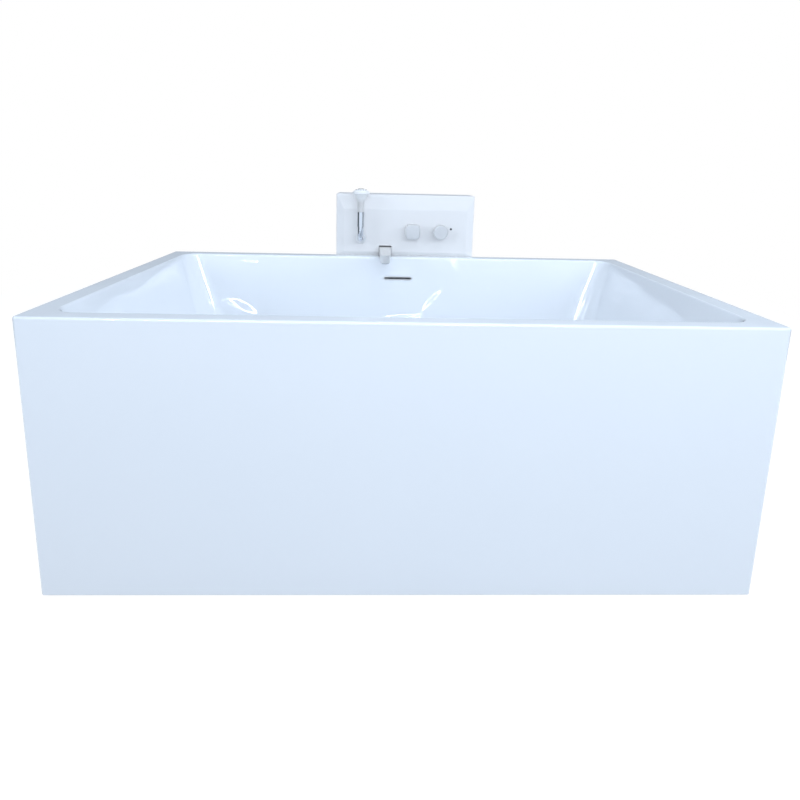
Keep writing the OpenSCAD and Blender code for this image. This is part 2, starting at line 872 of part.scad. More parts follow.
// Rubber ring under the plug's cap
module plug_seal() color(rubber) translate([0, drain_y, seal_low_z])
    ring(plug_r - 3, drain_bore_r + 2, seal_t);

// Domed cap of the plug
module plug_cap() color(chrome) translate([0, drain_y, cap_low_z])
    rotate_extrude() polygon(concat([[0, 0], [plug_r, 0]], dome_curve(plug_r, plug_edge_h, plug_h)));

// Tee that joins the drain, the overflow and the tailpiece
module waste_tee() color(plastic) translate([0, drain_y, 0])
difference() {
    union() {
        translate([0, 0, tee_low_z]) cylinder(r = tee_r, h = tee_top_z - tee_low_z);
        rearward(0, 0, branch_z) cylinder(r = branch_r, h = branch_len);
    }
    translate([0, 0, tube_end_z]) cylinder(r = drain_tube_r + seat_gap, h = tee_socket + over);
    translate([0, 0, tail_top_z]) cylinder(r = chamber_r, h = tube_end_z - tail_top_z + over);
    translate([0, 0, tee_low_z - over]) cylinder(r = tail_neck_r + seat_gap, h = tail_socket + 2 * over);
    rearward(0, 0, branch_z) cylinder(r = overflow_r - overflow_t, h = branch_len + over);
    rearward(0, branch_len - branch_socket, branch_z)
        cylinder(r = overflow_r + seat_gap, h = branch_socket + over);
}

// Nut that clamps the tailpiece under the tee
module tail_nut() color(plastic) translate([0, drain_y, tee_low_z - tail_nut_h])
    hex_nut(tail_nut_r, tail_neck_r + seat_gap, tail_nut_h);

// Outlet that stands in the drain socket of the building's floor
module tailpiece() color(plastic) translate([0, drain_y, tail_gap]) {
    ring(tail_r, tail_r - tail_t, tail_free);
    ring(tail_neck_r, tail_r - tail_t, tail_top_z - tail_gap);
}

// ---------- Overflow ----------

// Metal lining of the slot with a slim lip
module overflow_trim() color(chrome) at_slot() {
    depth = shell_t + 3;
    lip = 2 * (trim_t + trim_lip);
    difference() {
        union() {
            translate([0, 0, -depth]) linear_extrude(depth)
                slot_outline(slot_w + 2 * trim_t, slot_h + 2 * trim_t);
            linear_extrude(1) slot_outline(slot_w + lip, slot_h + lip);
        }
        translate([0, 0, -depth - over]) linear_extrude(depth + 2 + 2 * over)
            slot_outline(slot_w, slot_h);
    }
}

// Seal that fills the wedge between the sloped wall and the upright box
module overflow_gasket() color(rubber)
difference() {
    block([-box_w / 2, slot_wall_y - box_h / 2, box_low_z], [box_w / 2, box_front_y, box_top_z]);
    basin_form(shell_t, tub_h - shell_t / 2);
    at_slot() translate([0, 0, -box_h]) linear_extrude(2 * box_h) slot_outline(slot_w + 8, slot_h + 10);
}

// Box that collects the overflow behind the wall
module overflow_box() color(plastic)
difference() {
    union() {
        block([-box_w / 2, box_front_y, box_low_z], [box_w / 2, box_back_y, box_top_z]);
        translate([0, overflow_y, box_low_z - spigot_len])
            cylinder(r = overflow_r + spigot_wall, h = spigot_len);
    }
    block(
        [box_wall - box_w / 2, box_front_y - over, box_low_z + box_wall],
        [box_w / 2 - box_wall, box_back_y - box_wall, box_top_z - box_wall]
    );
    translate([0, overflow_y, box_low_z - spigot_len - over])
        cylinder(r = overflow_r + seat_gap, h = spigot_len + over);
    translate([0, overflow_y, box_low_z - over])
        cylinder(r = overflow_r - overflow_t, h = box_wall + 2 * over);
}

// Pipe from the overflow box down to the waste tee
module overflow_pipe() color(plastic) {
    bend_y = overflow_y - overflow_bend_r;
    bend_z = branch_z + overflow_bend_r;
    start_y = drain_y + branch_len - branch_socket + pipe_end_gap;
    rearward(0, start_y, branch_z) ring(overflow_r, overflow_r - overflow_t, bend_y - start_y);
    translate([0, bend_y, bend_z]) rotate([0, 90, 0])
        rotate_extrude(angle = 90) translate([overflow_bend_r, 0]) difference() {
            circle(r = overflow_r);
            circle(r = overflow_r - overflow_t);
        }
    translate([0, overflow_y, bend_z])
        ring(overflow_r, overflow_r - overflow_t, box_low_z - bend_z - pipe_end_gap);
}

// ---------- Console ----------

// Places a child at each of the bolts between the console and the skirt
module each_console_bolt(y) {
    for (x = [-1, 1] * bolt_x, z = [low_bolt_z, high_bolt_z]) {
        translate([console_x + x, y, z]) children();
    }
}

// Places a child at each screw of the mounting plate, which stands behind the window's edge
module each_plate_fixing(y) {
    reach = (window_half + plate_half) / 2;
    for (x = [-1, 1] * reach, z = [window_low_z + plate_screw_in, window_top_z - plate_screw_in]) {
        translate([console_x + x, y, z]) children();
    }
}

// Places a child at each boss that the fascia is screwed to
module each_fascia_boss(y) {
    for (x = [-1, 1] * (face_half - boss_in), z = [-1, 1] * boss_dz) {
        translate([console_x + x, y, knob_z + z]) children();
    }
}

// Places a child at each screw of the back cover
module each_cover_screw() {
    reach = console_half - console_t - cover_flange_w / 2;
    for (x = [-1, 1] * reach, z = [cover_screw_in, console_top_z / 2, console_top_z - cover_screw_in]) {
        rearward(console_x + x, 0, z) children();
    }
}

// Places a child at each screw between the housing's side and the base's tab
module each_base_screw() {
    for (s = [-1, 1], y = [console_front_y + tab_screw_in, console_back_y - tab_screw_in]) {
        translate([console_x + s * console_half, y, tray_z + tray_t + tab_h / 2])
            rotate([0, -90 * s, 0]) children();
    }
}

// Folded housing, open below and at the back, with a window behind the fascia
module console_housing() color(console_grey)
difference() {
    union() {
        difference() {
            block(
                [console_x - console_half, console_front_y, console_foot_h],
                [console_x + console_half, console_back_y, console_top_z]
            );
            block(
                [console_x - console_half + console_t, sheet_back_y, console_foot_h - over],
                [console_x + console_half - console_t, console_back_y + over, console_top_z - console_t]
            );
        }
        for (s = [-1, 1]) {
            x = console_x + s * (console_half - console_t / 2 - cover_flange_w / 2);
            low_z = console_foot_h + cover_flange_low;
            translate([x - cover_flange_w / 2, flange_front_y, low_z])
                cube([cover_flange_w, console_t, console_top_z - console_t / 2 - low_z]);
        }
    }
    block(
        [console_x - window_half, console_front_y - over, window_low_z],
        [console_x + window_half, sheet_back_y + over, window_top_z]
    );
    each_console_bolt(console_front_y - over) rotate([-90, 0, 0])
        cylinder(r = bolt_r + hole_gap, h = console_t + 2 * over);
    each_plate_fixing(console_front_y - over) rotate([-90, 0, 0])
        cylinder(r = bracket_screw_r + seat_gap, h = console_t + 2 * over);
    each_cover_screw() translate([0, 0, flange_front_y - over])
        cylinder(r = bracket_screw_r + seat_gap, h = console_t + 2 * over);
    each_base_screw() translate([0, 0, -over])
        cylinder(r = bracket_screw_r + hole_gap, h = console_t + 2 * over);
}

// Steel tray that the housing is screwed to, with a cut-out for the inlets
module console_base() color(steel)
difference() {
    side = console_half - console_t - cover_gap;
    union() {
        block(
            [console_x - side, sheet_back_y + cover_gap, tray_z],
            [console_x + side, cover_front_y - cover_gap, tray_z + tray_t]
        );
        for (s = [-1, 1]) {
            translate([console_x + s * (side - tray_t / 2) - tray_t / 2, sheet_back_y + cover_gap, tray_z])
                cube([tray_t, console_d - 2 * console_t - 2 * cover_gap, tray_t + tab_h]);
        }
    }
    block(
        [hot_x - 2 * union_r, valve_y - 1.5 * union_r, tray_z - over],
        [cold_x + 2 * union_r, valve_y + 1.5 * union_r, tray_z + tray_t + over]
    );
    each_base_screw() cylinder(r = bracket_screw_r + seat_gap, h = console_t + cover_gap + tray_t + over);
}

// Rubber pads under the tray
module console_pads() color(rubber) {
    pad = pad_inset / 2;
    for (s = [-1, 1], y = [console_front_y + pad_inset, console_back_y - pad_inset]) {
        translate([console_x + s * (console_half - pad_inset), y, 0]) cylinder(r = pad, h = console_foot_h);
    }
}

// Removable sheet that closes the console's back
module back_cover() color(console_grey)
difference() {
    side = console_half - console_t - cover_gap;
    block(
        [console_x - side, cover_front_y, console_foot_h + tray_t + 1],
        [console_x + side, console_back_y, console_top_z - console_t - cover_gap]
    );
    each_cover_screw() translate([0, 0, cover_front_y - over])
        cylinder(r = bracket_screw_r + hole_gap, h = console_t + 2 * over);
}

// Screws of the back cover and of the base tray
module console_screws() color(steel) {
    each_cover_screw() translate([0, 0, console_back_y]) mirror([0, 0, 1])
        screw(bracket_screw_r, 2 * console_t + 2);
    each_base_screw() screw(bracket_screw_r, console_t + cover_gap + tray_t + 1);
}

// Blocks that keep the console off the skirt
module console_spacers() color(rubber)
difference() {
    each_console_bolt(tub_w / 2) translate([-spacer_w / 2, 0, -spacer_w / 2])
        cube([spacer_w, console_gap, spacer_w]);
    each_console_bolt(tub_w / 2 - over) rotate([-90, 0, 0])
        cylinder(r = bolt_r + hole_gap, h = console_gap + 2 * over);
}

// Bolts from the console into the skirt, with their nuts inside the tub
module console_bolts() color(steel) {
    end_y = skirt_in_y - bolt_nut_h - bolt_proud;
    each_console_bolt(sheet_back_y) rotate([90, 0, 0]) {
        cylinder(r = bolt_r, h = sheet_back_y - end_y);
        mirror([0, 0, 1]) cylinder(r = bolt_head_r, h = bolt_head_h, $fn = 6);
    }
    each_console_bolt(skirt_in_y) rotate([90, 0, 0]) hex_nut(bolt_head_r, bolt_r + seat_gap, bolt_nut_h);
}

// Steel plate behind the window, which carries the valve, the spout and the holder
module mounting_plate() color(steel)
difference() {
    block(
        [console_x - plate_half, sheet_back_y, plate_low_z],
        [console_x + plate_half, plate_back_y, plate_top_z]
    );
    for (x = [flow_x, temperature_x]) {
        rearward(x, sheet_back_y - over, knob_z) cylinder(r = cartridge_r + hole_gap, h = plate_t + 2 * over);
    }
    rearward(spout_x, sheet_back_y - over, shank_z) cylinder(r = shank_r + hole_gap, h = plate_t + 2 * over);
    rearward(handset_x, sheet_back_y - over, holder_low_z)
        cylinder(r = shank_r + hole_gap, h = plate_t + 2 * over);
    each_plate_fixing(sheet_back_y - over) rotate([-90, 0, 0])
        cylinder(r = bracket_screw_r + hole_gap, h = plate_t + 2 * over);
    each_fascia_boss(sheet_back_y - over) rotate([-90, 0, 0])
        cylinder(r = bracket_screw_r + hole_gap, h = plate_t + 2 * over);
}

// Solid with a raised face and four bevels, moved in from the outer surface by a wall
module bevelled_block(wall) {
    film = 0.01;
    hull() {
        block(
            [console_x - console_half + wall, console_front_y - fascia_lip + wall * 0.7, fascia_low_z + wall],
            [console_x + console_half - wall, console_front_y + (wall > 0 ? over : 0), console_top_z - wall]
        );
        block(
            [console_x - face_half + wall / 2, face_y + wall, face_low_z + wall / 2],
            [console_x + face_half - wall / 2, face_y + wall + film, face_top_z - wall / 2]
        );
    }
}

// Moulded front of the console, with openings for what passes through it
module fascia() color(console_grey)
difference() {
    union() {
        difference() {
            bevelled_block(0);
            bevelled_block(fascia_t);
        }
        each_fascia_boss(sheet_back_y) rotate([90, 0, 0]) cylinder(r = boss_r, h = sheet_back_y - face_y - 1);
    }
    each_fascia_boss(sheet_back_y + over) rotate([90, 0, 0])
        cylinder(r = bracket_screw_r + seat_gap, h = boss_bite + 2);
    for (x = [flow_x, temperature_x]) {
        rearward(x, face_y - over, knob_z) cylinder(r = cartridge_wall_r, h = fascia_t + 2 * over);
    }
    rearward(handset_x, face_y - over, holder_low_z)
        cylinder(r = holder_r + hole_gap, h = fascia_t + 2 * over);
    block(
        [spout_x - spout_root_w / 2 - spout_clear, face_y - over, fascia_low_z - over],
        [spout_x + spout_root_w / 2 + spout_clear, console_front_y + over, spout_top_z + spout_gap]
    );
    rearward(temperature_x + index_dx, face_y - over, knob_z + index_dz)
        cylinder(r = index_r + seat_gap, h = over + 1);
}

// Screws of the mounting plate and of the fascia
module fascia_screws() color(steel) {
    each_plate_fixing(plate_back_y) rotate([90, 0, 0]) screw(bracket_screw_r, plate_t + console_t);
    each_fascia_boss(plate_back_y) rotate([90, 0, 0]) screw(bracket_screw_r, plate_t + boss_bite);
}

// Mark that the temperature knob is read against
module index_dot() color(dark) rearward(temperature_x + index_dx, face_y - index_sunk, knob_z + index_dz)
    cylinder(r = index_r, h = index_t);

// ---------- Valve ----------

// Brass body with a boss for each cartridge and a stub for each supply
module valve_body() color(brass)
difference() {
    low_x = flow_x - valve_end;
    high_x = temperature_x + valve_end;
    union() {
        rod([low_x, valve_y, knob_z], [high_x, valve_y, knob_z], valve_r);
        for (x = [flow_x, temperature_x]) {
            rearward(x, plate_back_y, knob_z) cylinder(r = valve_boss_r, h = valve_set);
        }
        for (x = [hot_x, cold_x]) {
            translate([x, valve_y, knob_z - inlet_drop]) cylinder(r = pipe_r + stub_wall, h = inlet_drop);
        }
    }
    for (x = [flow_x, temperature_x]) {
        rearward(x, plate_back_y - over, knob_z)
            cylinder(r = cartridge_r + seat_gap, h = cartridge_back_y - plate_back_y + over);
    }
    for (x = [hot_x, cold_x]) {
        translate([x, valve_y, knob_z - inlet_drop - over])
            cylinder(r = pipe_r + seat_gap, h = inlet_socket + over);
        translate([x, valve_y, knob_z - inlet_drop]) cylinder(r = pipe_r - pipe_t, h = inlet_drop);
    }
    rod([low_x - over, valve_y, knob_z], [high_x - 8, valve_y, knob_z], pipe_r - pipe_t);
    rod([low_x - over, valve_y, knob_z], [low_x + inlet_socket, valve_y, knob_z], pipe_r + seat_gap);
    rod(
        [flow_x, valve_y, knob_z - valve_r - over],
        [flow_x, valve_y, knob_z - valve_r + inlet_socket], pipe_r + seat_gap
    );
}

// Cartridge barrel with the bore that its spindle turns in
module cartridge(x) {
    forward(x, cartridge_back_y, knob_z) difference() {
        cylinder(r = cartridge_r, h = cartridge_back_y - cartridge_front_y);
        translate([0, 0, cartridge_back_y - spindle_back_y - 1])
            cylinder(r = spindle_r + spindle_gap, h = cartridge_back_y);
    }
}

// Cartridge that sets the flow and sends it to the spout or the hand shower
module flow_cartridge() color(plastic) cartridge(flow_x);

// Thermostatic cartridge
module temperature_cartridge() color(brass) cartridge(temperature_x);

// Nuts that clamp the valve to the mounting plate
module cartridge_nuts() color(brass) {
    for (x = [flow_x, temperature_x]) {
        forward(x, sheet_back_y, knob_z) hex_nut(cartridge_nut_r, cartridge_r + seat_gap, cartridge_nut_h);
    }
}

// Shaft that turns with a knob
module spindle(x) {
    forward(x, spindle_back_y, knob_z) cylinder(r = spindle_r, h = spindle_back_y - spindle_front_y);
}

// Shaft of the flow knob
module flow_spindle() color(brass) spindle(flow_x);

// Shaft of the temperature knob
module temperature_spindle() color(brass) spindle(temperature_x);

// Rings on the fascia around the knobs' shafts
module knob_collars() color(chrome) {
    for (x = [flow_x, temperature_x]) {
        forward(x, face_y, knob_z) ring(collar_r, spindle_r + collar_gap, collar_t);
    }
}

// Bore of a knob, closed at its front
module knob_bore() {
    translate([0, 0, -over])
        cylinder(r = spindle_r + seat_gap, h = knob_back_y - spindle_front_y + seat_gap + over);
}

// Knob with soft square corners
module flow_knob() color(satin) forward(flow_x, knob_back_y, knob_z)
difference() {
    linear_extrude(knob_t) round_rect(knob_d, knob_d, knob_corner_r);
    knob_bore();
}

// Round knob
module temperature_knob() color(satin) forward(temperature_x, knob_back_y, knob_z)
difference() {
    edge = knob_edge_r;
    rotate_extrude() union() {
        square([knob_d / 2, knob_t - edge]);
        square([knob_d / 2 - edge, knob_t]);
        translate([knob_d / 2 - edge, knob_t - edge]) intersection() {
            circle(r = edge);
            square(edge);
        }
    }
    knob_bore();
}

// Hot and cold pipes from the inlets up to the valve
module supply_pipes() color(copper) {
    low_z = inlet_z + union_h - inlet_socket;
    for (x = [hot_x, cold_x]) {
        translate([x, valve_y, low_z])
            ring(pipe_r, pipe_r - pipe_t, knob_z - inlet_drop + inlet_socket - low_z - pipe_end_gap);
    }
}

// Unions with the threaded sockets that the building's supplies screw into
module inlet_unions() color(brass) {
    for (x = [hot_x, cold_x]) {
        translate([x, valve_y, inlet_z]) difference() {
            cylinder(r = union_r, h = union_h);
            translate([0, 0, -over]) cylinder(r = inlet_r, h = inlet_depth + over);
            cylinder(r = pipe_r - pipe_t, h = union_h);
            translate([0, 0, union_h - inlet_socket])
                cylinder(r = pipe_r + seat_gap, h = inlet_socket + over);
        }
    }
}

// Pipe from the valve to the spout
module spout_feed() color(copper) pipe([
    [flow_x - valve_end + inlet_socket - pipe_end_gap, valve_y, knob_z],
    [spout_x, valve_y, knob_z],
    [spout_x, valve_y, shank_z],
    [spout_x, sheet_back_y + shank_len, shank_z]
], pipe_r, pipe_t);

// Pipe from the valve to the hand shower's hose, which starts at its open end
module handset_feed() color(copper) {
    rear_y = valve_y + valve_r + 2;
    low_z = knob_z - inlet_drop - pipe_r;
    end_x = handset_x + 34;
    pipe([
        [flow_x, valve_y, knob_z - valve_r + inlet_socket - pipe_end_gap],
        [flow_x, valve_y, low_z],
        [flow_x, rear_y, low_z],
        [end_x, rear_y, low_z],
        [end_x, valve_y, low_z]
    ], pipe_r, pipe_t);
}

// ---------- Spout ----------

// Tapered spout with a round nose, its shank and its water channel
module spout() color(chrome)
difference() {
    union() {
        intersection() {
            translate([0, 0, nose_low_z - over]) linear_extrude(spout_top_z - nose_low_z + 2 * over) union() {
                translate([spout_x, nose_y]) circle(r = spout_nose_r);
                polygon([
                    [spout_x - spout_root_w / 2, sheet_back_y],
                    [spout_x - spout_nose_r, nose_y],
                    [spout_x + spout_nose_r, nose_y],
                    [spout_x + spout_root_w / 2, sheet_back_y]
                ]);
            }
            translate([spout_x - spout_root_w, 0, 0]) rotate([90, 0, 90]) linear_extrude(2 * spout_root_w)
                polygon([
                    [sheet_back_y, spout_low_z],
                    [sheet_back_y, spout_top_z],
                    [nose_y - spout_nose_r, nose_top_z],
                    [nose_y - spout_nose_r, nose_low_z]
                ]);
        }
        rearward(spout_x, sheet_back_y - over, shank_z) cylinder(r = shank_r, h = shank_len + over);
    }
    rod([spout_x, sheet_back_y + shank_len + over, shank_z], [spout_x, sheet_back_y - 4, shank_z], channel_r);
    rod([spout_x, sheet_back_y, shank_z], [spout_x, nose_y, nose_low_z + spout_nose_h / 2], channel_r);
    translate([spout_x, nose_y, nose_low_z - over])
        cylinder(r = channel_r, h = spout_nose_h / 2 + over);
    translate([spout_x, nose_y, nose_low_z - 10])
        cylinder(r = aerator_r + seat_gap, h = 10 + aerator_h - aerator_proud);
}

// Insert that mixes air into the spout's stream
module aerator() color(satin) translate([spout_x, nose_y, nose_low_z - aerator_proud])
difference() {
    cylinder(r = aerator_r, h = aerator_h - 0.1);
    for (turn = [0 : 60 : 300]) {
        rotate([0, 0, turn]) translate([aerator_r / 2, 0, -over]) cylinder(r = 1.8, h = aerator_h + 2 * over);
    }
    translate([0, 0, -over]) cylinder(r = 1.8, h = aerator_h + 2 * over);
}

// Nuts that hold the spout's shank and the holder's shank to the mounting plate
module fitting_nuts() color(brass) {
    rearward(spout_x, plate_back_y, shank_z) hex_nut(shank_r + 5, shank_r + seat_gap, fitting_nut_h);
    rearward(handset_x, plate_back_y, holder_low_z) hex_nut(shank_r + 5, shank_r + seat_gap, fitting_nut_h);
}

// ---------- Hand shower ----------

// Hollow elbow with a cup, which is also the gland of the hand shower's hose
module handset_holder() color(chrome) translate([handset_x, 0, 0]) {
    bend_y = handset_y + holder_bend_r;
    bend_z = holder_low_z + holder_bend_r;
    difference() {
        union() {
            translate([0, handset_y, bend_z]) cylinder(r = holder_r, h = holder_top_z - bend_z);
            translate([0, handset_y, cup_low_z - 2]) cylinder(r = cup_wall_r, h = cup_depth + 2);
        }
        translate([0, handset_y, bend_z - over]) cylinder(r = hose_r, h = cup_low_z - bend_z + 2 * over);
        translate([0, handset_y, cup_low_z]) cylinder(r = cup_r, h = cup_depth + over);
    }
    translate([0, bend_y, bend_z]) rotate([0, 90, 0]) rotate([0, 0, -90])
        rotate_extrude(angle = 90) translate([holder_bend_r, 0]) difference() {
            circle(r = holder_r);
            circle(r = hose_r);
        }
    rearward(0, bend_y, holder_low_z) ring(holder_r, hose_r, sheet_back_y - bend_y);
    rearward(0, sheet_back_y, holder_low_z) ring(shank_r, hose_r, 19);
}

// Ring on the fascia around the holder
module holder_rosette() color(chrome) forward(handset_x, face_y, holder_low_z)
    ring(rosette_r, holder_r + seat_gap, 4);

// Hollow spigot that stands in the holder's cup
module handset_connector() color(chrome) translate([handset_x, handset_y, 0]) {
    translate([0, 0, cup_low_z + 1]) ring(spigot_r, hose_r - 1, holder_top_z + move_gap - cup_low_z - 1);
    translate([0, 0, holder_top_z + move_gap]) ring(grip_r, hose_r - 1, connector_h);
}

// Grip that flares out to the head
module handset_body() color(satin) translate([handset_x, handset_y, 0])
difference() {
    steps = 8;
    flare = [for (i = [0 : steps]) [
        grip_r + (head_r - grip_r) * pow(i / steps, 1.8),
        flare_z + (flare_h - 4) * i / steps
    ]];
    rotate_extrude() polygon(concat(
        [[0, grip_z], [grip_r, grip_z]],
        flare,
        [[head_r, plate_z], [0, plate_z]]
    ));
    translate([0, 0, grip_z - over]) cylinder(r = hose_r - 1, h = plate_z - grip_z);
    translate([0, 0, plate_z - 8]) cylinder(r = head_r - 4, h = 8 + over);
}

// Places a child at each nozzle, one in the middle and two rings around it.
// $nozzle_out is its distance from the middle.
module each_nozzle() {
    for (circle_no = [0, 1, 2], i = [0 : max(0, 6 * circle_no - 1)]) {
        $nozzle_out = circle_no * nozzle_pitch;
        rotate([0, 0, 60 * i / max(1, circle_no)]) translate([$nozzle_out, 0, 0]) children();
    }
}

// Domed plate at the end of the head, with a hole for each nozzle
module spray_plate() color(satin) translate([handset_x, handset_y, plate_z])
difference() {
    rotate_extrude() polygon(concat([[0, 0]], dome_curve(head_r, 0, dome_h)));
    translate([0, 0, -over]) each_nozzle() cylinder(r = nozzle_r + seat_gap, h = dome_h + 2 * over, $fn = 16);
}

// Soft nozzles, which come through the plate from behind
module spray_nozzles() color(dark) translate([handset_x, handset_y, plate_z - nozzle_back]) {
    dome_r = (pow(head_r, 2) + pow(dome_h, 2)) / (2 * dome_h);
    each_nozzle() {
        dome_z = dome_h - dome_r + sqrt(pow(dome_r, 2) - pow($nozzle_out + nozzle_r, 2));
        cylinder(r = nozzle_r, h = nozzle_back + dome_z + nozzle_proud, $fn = 16);
    }
}

basin_shell();
outer_skirt();
rim_battens();
base_board();
frame_rails();
cross_members();
foot_plate();
foot_studs();
foot_nuts();
foot_pads();
skirt_brackets();
frame_screws();
drain_flange();
drain_gasket();
drain_washer();
drain_nut();
click_cartridge();
plug_stem();
plug_seal();
plug_cap();
waste_tee();
tail_nut();
tailpiece();
overflow_trim();
overflow_gasket();
overflow_box();
overflow_pipe();
console_housing();
console_base();
console_pads();
back_cover();
console_screws();
console_spacers();
console_bolts();
mounting_plate();
fascia();
fascia_screws();
index_dot();
valve_body();
flow_cartridge();
temperature_cartridge();
cartridge_nuts();
flow_spindle();
temperature_spindle();
knob_collars();
flow_knob();
temperature_knob();
supply_pipes();
inlet_unions();
spout_feed();
handset_feed();
spout();
aerator();
fitting_nuts();
handset_holder();
holder_rosette();
handset_connector();
handset_body();
spray_plate();
spray_nozzles();
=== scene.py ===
from math import copysign, cos, pi, radians, sin, sqrt, tan

import bmesh
import bpy
from mathutils import Matrix, Vector


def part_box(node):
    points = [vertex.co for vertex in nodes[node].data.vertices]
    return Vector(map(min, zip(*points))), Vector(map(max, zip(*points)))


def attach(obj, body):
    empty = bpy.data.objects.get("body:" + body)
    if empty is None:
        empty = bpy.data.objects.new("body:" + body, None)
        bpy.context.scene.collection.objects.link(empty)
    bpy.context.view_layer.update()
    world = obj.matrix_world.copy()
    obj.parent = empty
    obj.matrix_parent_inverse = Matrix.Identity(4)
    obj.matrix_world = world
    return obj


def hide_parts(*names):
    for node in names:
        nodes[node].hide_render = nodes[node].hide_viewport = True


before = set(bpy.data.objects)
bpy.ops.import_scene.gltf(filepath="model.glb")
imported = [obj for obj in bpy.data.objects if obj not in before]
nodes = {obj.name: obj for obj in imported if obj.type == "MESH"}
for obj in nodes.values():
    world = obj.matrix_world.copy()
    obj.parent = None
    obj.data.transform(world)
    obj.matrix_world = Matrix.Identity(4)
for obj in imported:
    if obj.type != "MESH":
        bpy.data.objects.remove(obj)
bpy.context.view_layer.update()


# ---------- Camera ----------
# Seen from close in front of the tub, a little left of its middle and just above its rim.
# The wide lens makes the front taper downwards, and the shift keeps the tub in the frame.

yaw, pitch, roll = radians(1.75), radians(10.07), radians(1.35)
ahead = Vector((sin(yaw) * cos(pitch), cos(yaw) * cos(pitch), -sin(pitch)))
level = Vector((cos(yaw), -sin(yaw), 0))
above = level.cross(ahead)
right = level * cos(roll) + above * sin(roll)
camera = bpy.data.objects.new("camera", bpy.data.cameras.new("camera"))
bpy.context.collection.objects.link(camera)
camera.matrix_world = (
    Matrix.Translation((-0.061, -1.365, 0.887))
    @ Matrix((right, above * cos(roll) - level * sin(roll), -ahead)).transposed().to_4x4()
)
camera.data.sensor_width = 36
camera.data.lens = 23.6
camera.data.shift_x = 0.0055
camera.data.shift_y = -0.1714
bpy.context.scene.camera = camera


# ---------- Studio ----------
# A white room with broad soft lamps in front, above and at both sides, and dimmer behind the
# tub. Four small lamps only mirror in the wet gloss of the basin. The floor keeps a shadow.

def start_material(name):
    material = bpy.data.materials.new(name)
    material.use_nodes = True
    tree = material.node_tree
    tree.nodes.clear()
    return material, tree, tree.nodes.new("ShaderNodeOutputMaterial")


floor_material, tree, output = start_material("studio_floor")
rays = tree.nodes.new("ShaderNodeLightPath")
floor_colour = tree.nodes.new("ShaderNodeMix")
floor_colour.data_type = "RGBA"
floor_colour.inputs["A"].default_value = (0.55, 0.55, 0.55, 1)
floor_colour.inputs["B"].default_value = (0.95, 0.95, 0.95, 1)
floor_paint = tree.nodes.new("ShaderNodeBsdfDiffuse")
floor_white = tree.nodes.new("ShaderNodeEmission")
floor_white.inputs["Color"].default_value = (1, 1, 1, 1)
floor_white.inputs["Strength"].default_value = 1.12
floor_seen = tree.nodes.new("ShaderNodeMath")
floor_seen.operation = "MAXIMUM"
floor_share = tree.nodes.new("ShaderNodeMath")
floor_share.operation = "MULTIPLY"
floor_share.inputs[1].default_value = 0.8
floor_mix = tree.nodes.new("ShaderNodeMixShader")
tree.links.new(rays.outputs["Is Camera Ray"], floor_colour.inputs["Factor"])
tree.links.new(floor_colour.outputs["Result"], floor_paint.inputs["Color"])
tree.links.new(rays.outputs["Is Camera Ray"], floor_seen.inputs[0])
tree.links.new(rays.outputs["Is Glossy Ray"], floor_seen.inputs[1])
tree.links.new(floor_seen.outputs[0], floor_share.inputs[0])
tree.links.new(floor_share.outputs[0], floor_mix.inputs["Fac"])
tree.links.new(floor_paint.outputs[0], floor_mix.inputs[1])
tree.links.new(floor_white.outputs[0], floor_mix.inputs[2])
tree.links.new(floor_mix.outputs[0], output.inputs["Surface"])

shape = bmesh.new()
bmesh.ops.create_grid(shape, x_segments=1, y_segments=1, size=2.6)
floor_mesh = bpy.data.meshes.new("studio_floor")
shape.to_mesh(floor_mesh)
shape.free()
floor_mesh.materials.append(floor_material)
studio_floor = bpy.data.objects.new("studio_floor", floor_mesh)
bpy.context.collection.objects.link(studio_floor)

bpy.context.scene.view_settings.view_transform = "Standard"
daylight = (0.77, 0.87, 1.0)
world = bpy.data.worlds.new("studio")
world.use_nodes = True
bpy.context.scene.world = world
tree = world.node_tree
tree.nodes.clear()
facing = tree.nodes.new("ShaderNodeTexCoord")
towards_key = tree.nodes.new("ShaderNodeVectorMath")
towards_key.operation = "DOT_PRODUCT"
towards_key.inputs[1].default_value = (0.05, -0.97, 0.24)
room_fade = tree.nodes.new("ShaderNodeMapRange")
room_fade.inputs["From Min"].default_value = -1
room_fade.inputs["To Min"].default_value = 0.34
room_fade.inputs["To Max"].default_value = 0.78
room_light = tree.nodes.new("ShaderNodeBackground")
room_light.inputs["Color"].default_value = (*daylight, 1)
mirror_fade = tree.nodes.new("ShaderNodeMapRange")
mirror_fade.inputs["From Min"].default_value = 0.1
mirror_fade.inputs["From Max"].default_value = 0.75
mirror_fade.inputs["To Min"].default_value = 0.03
mirror_fade.inputs["To Max"].default_value = 1.12
elevation = tree.nodes.new("ShaderNodeSeparateXYZ")
upper_fade = tree.nodes.new("ShaderNodeMapRange")
upper_fade.inputs["From Min"].default_value = 0.03
upper_fade.inputs["From Max"].default_value = 0.12
upper_fade.inputs["To Min"].default_value = 0.03
upper_fade.inputs["To Max"].default_value = 0.5
mirrored = tree.nodes.new("ShaderNodeMath")
mirrored.operation = "MAXIMUM"
mirror_light = tree.nodes.new("ShaderNodeBackground")
mirror_light.inputs["Color"].default_value = (*daylight, 1)
mirror_mix = tree.nodes.new("ShaderNodeMixShader")
room_white = tree.nodes.new("ShaderNodeBackground")
room_white.inputs["Color"].default_value = (1, 1, 1, 1)
room_white.inputs["Strength"].default_value = 1.0
rays = tree.nodes.new("ShaderNodeLightPath")
room_mix = tree.nodes.new("ShaderNodeMixShader")
room_output = tree.nodes.new("ShaderNodeOutputWorld")
tree.links.new(facing.outputs["Generated"], towards_key.inputs[0])
tree.links.new(towards_key.outputs["Value"], room_fade.inputs["Value"])
tree.links.new(room_fade.outputs[0], room_light.inputs["Strength"])
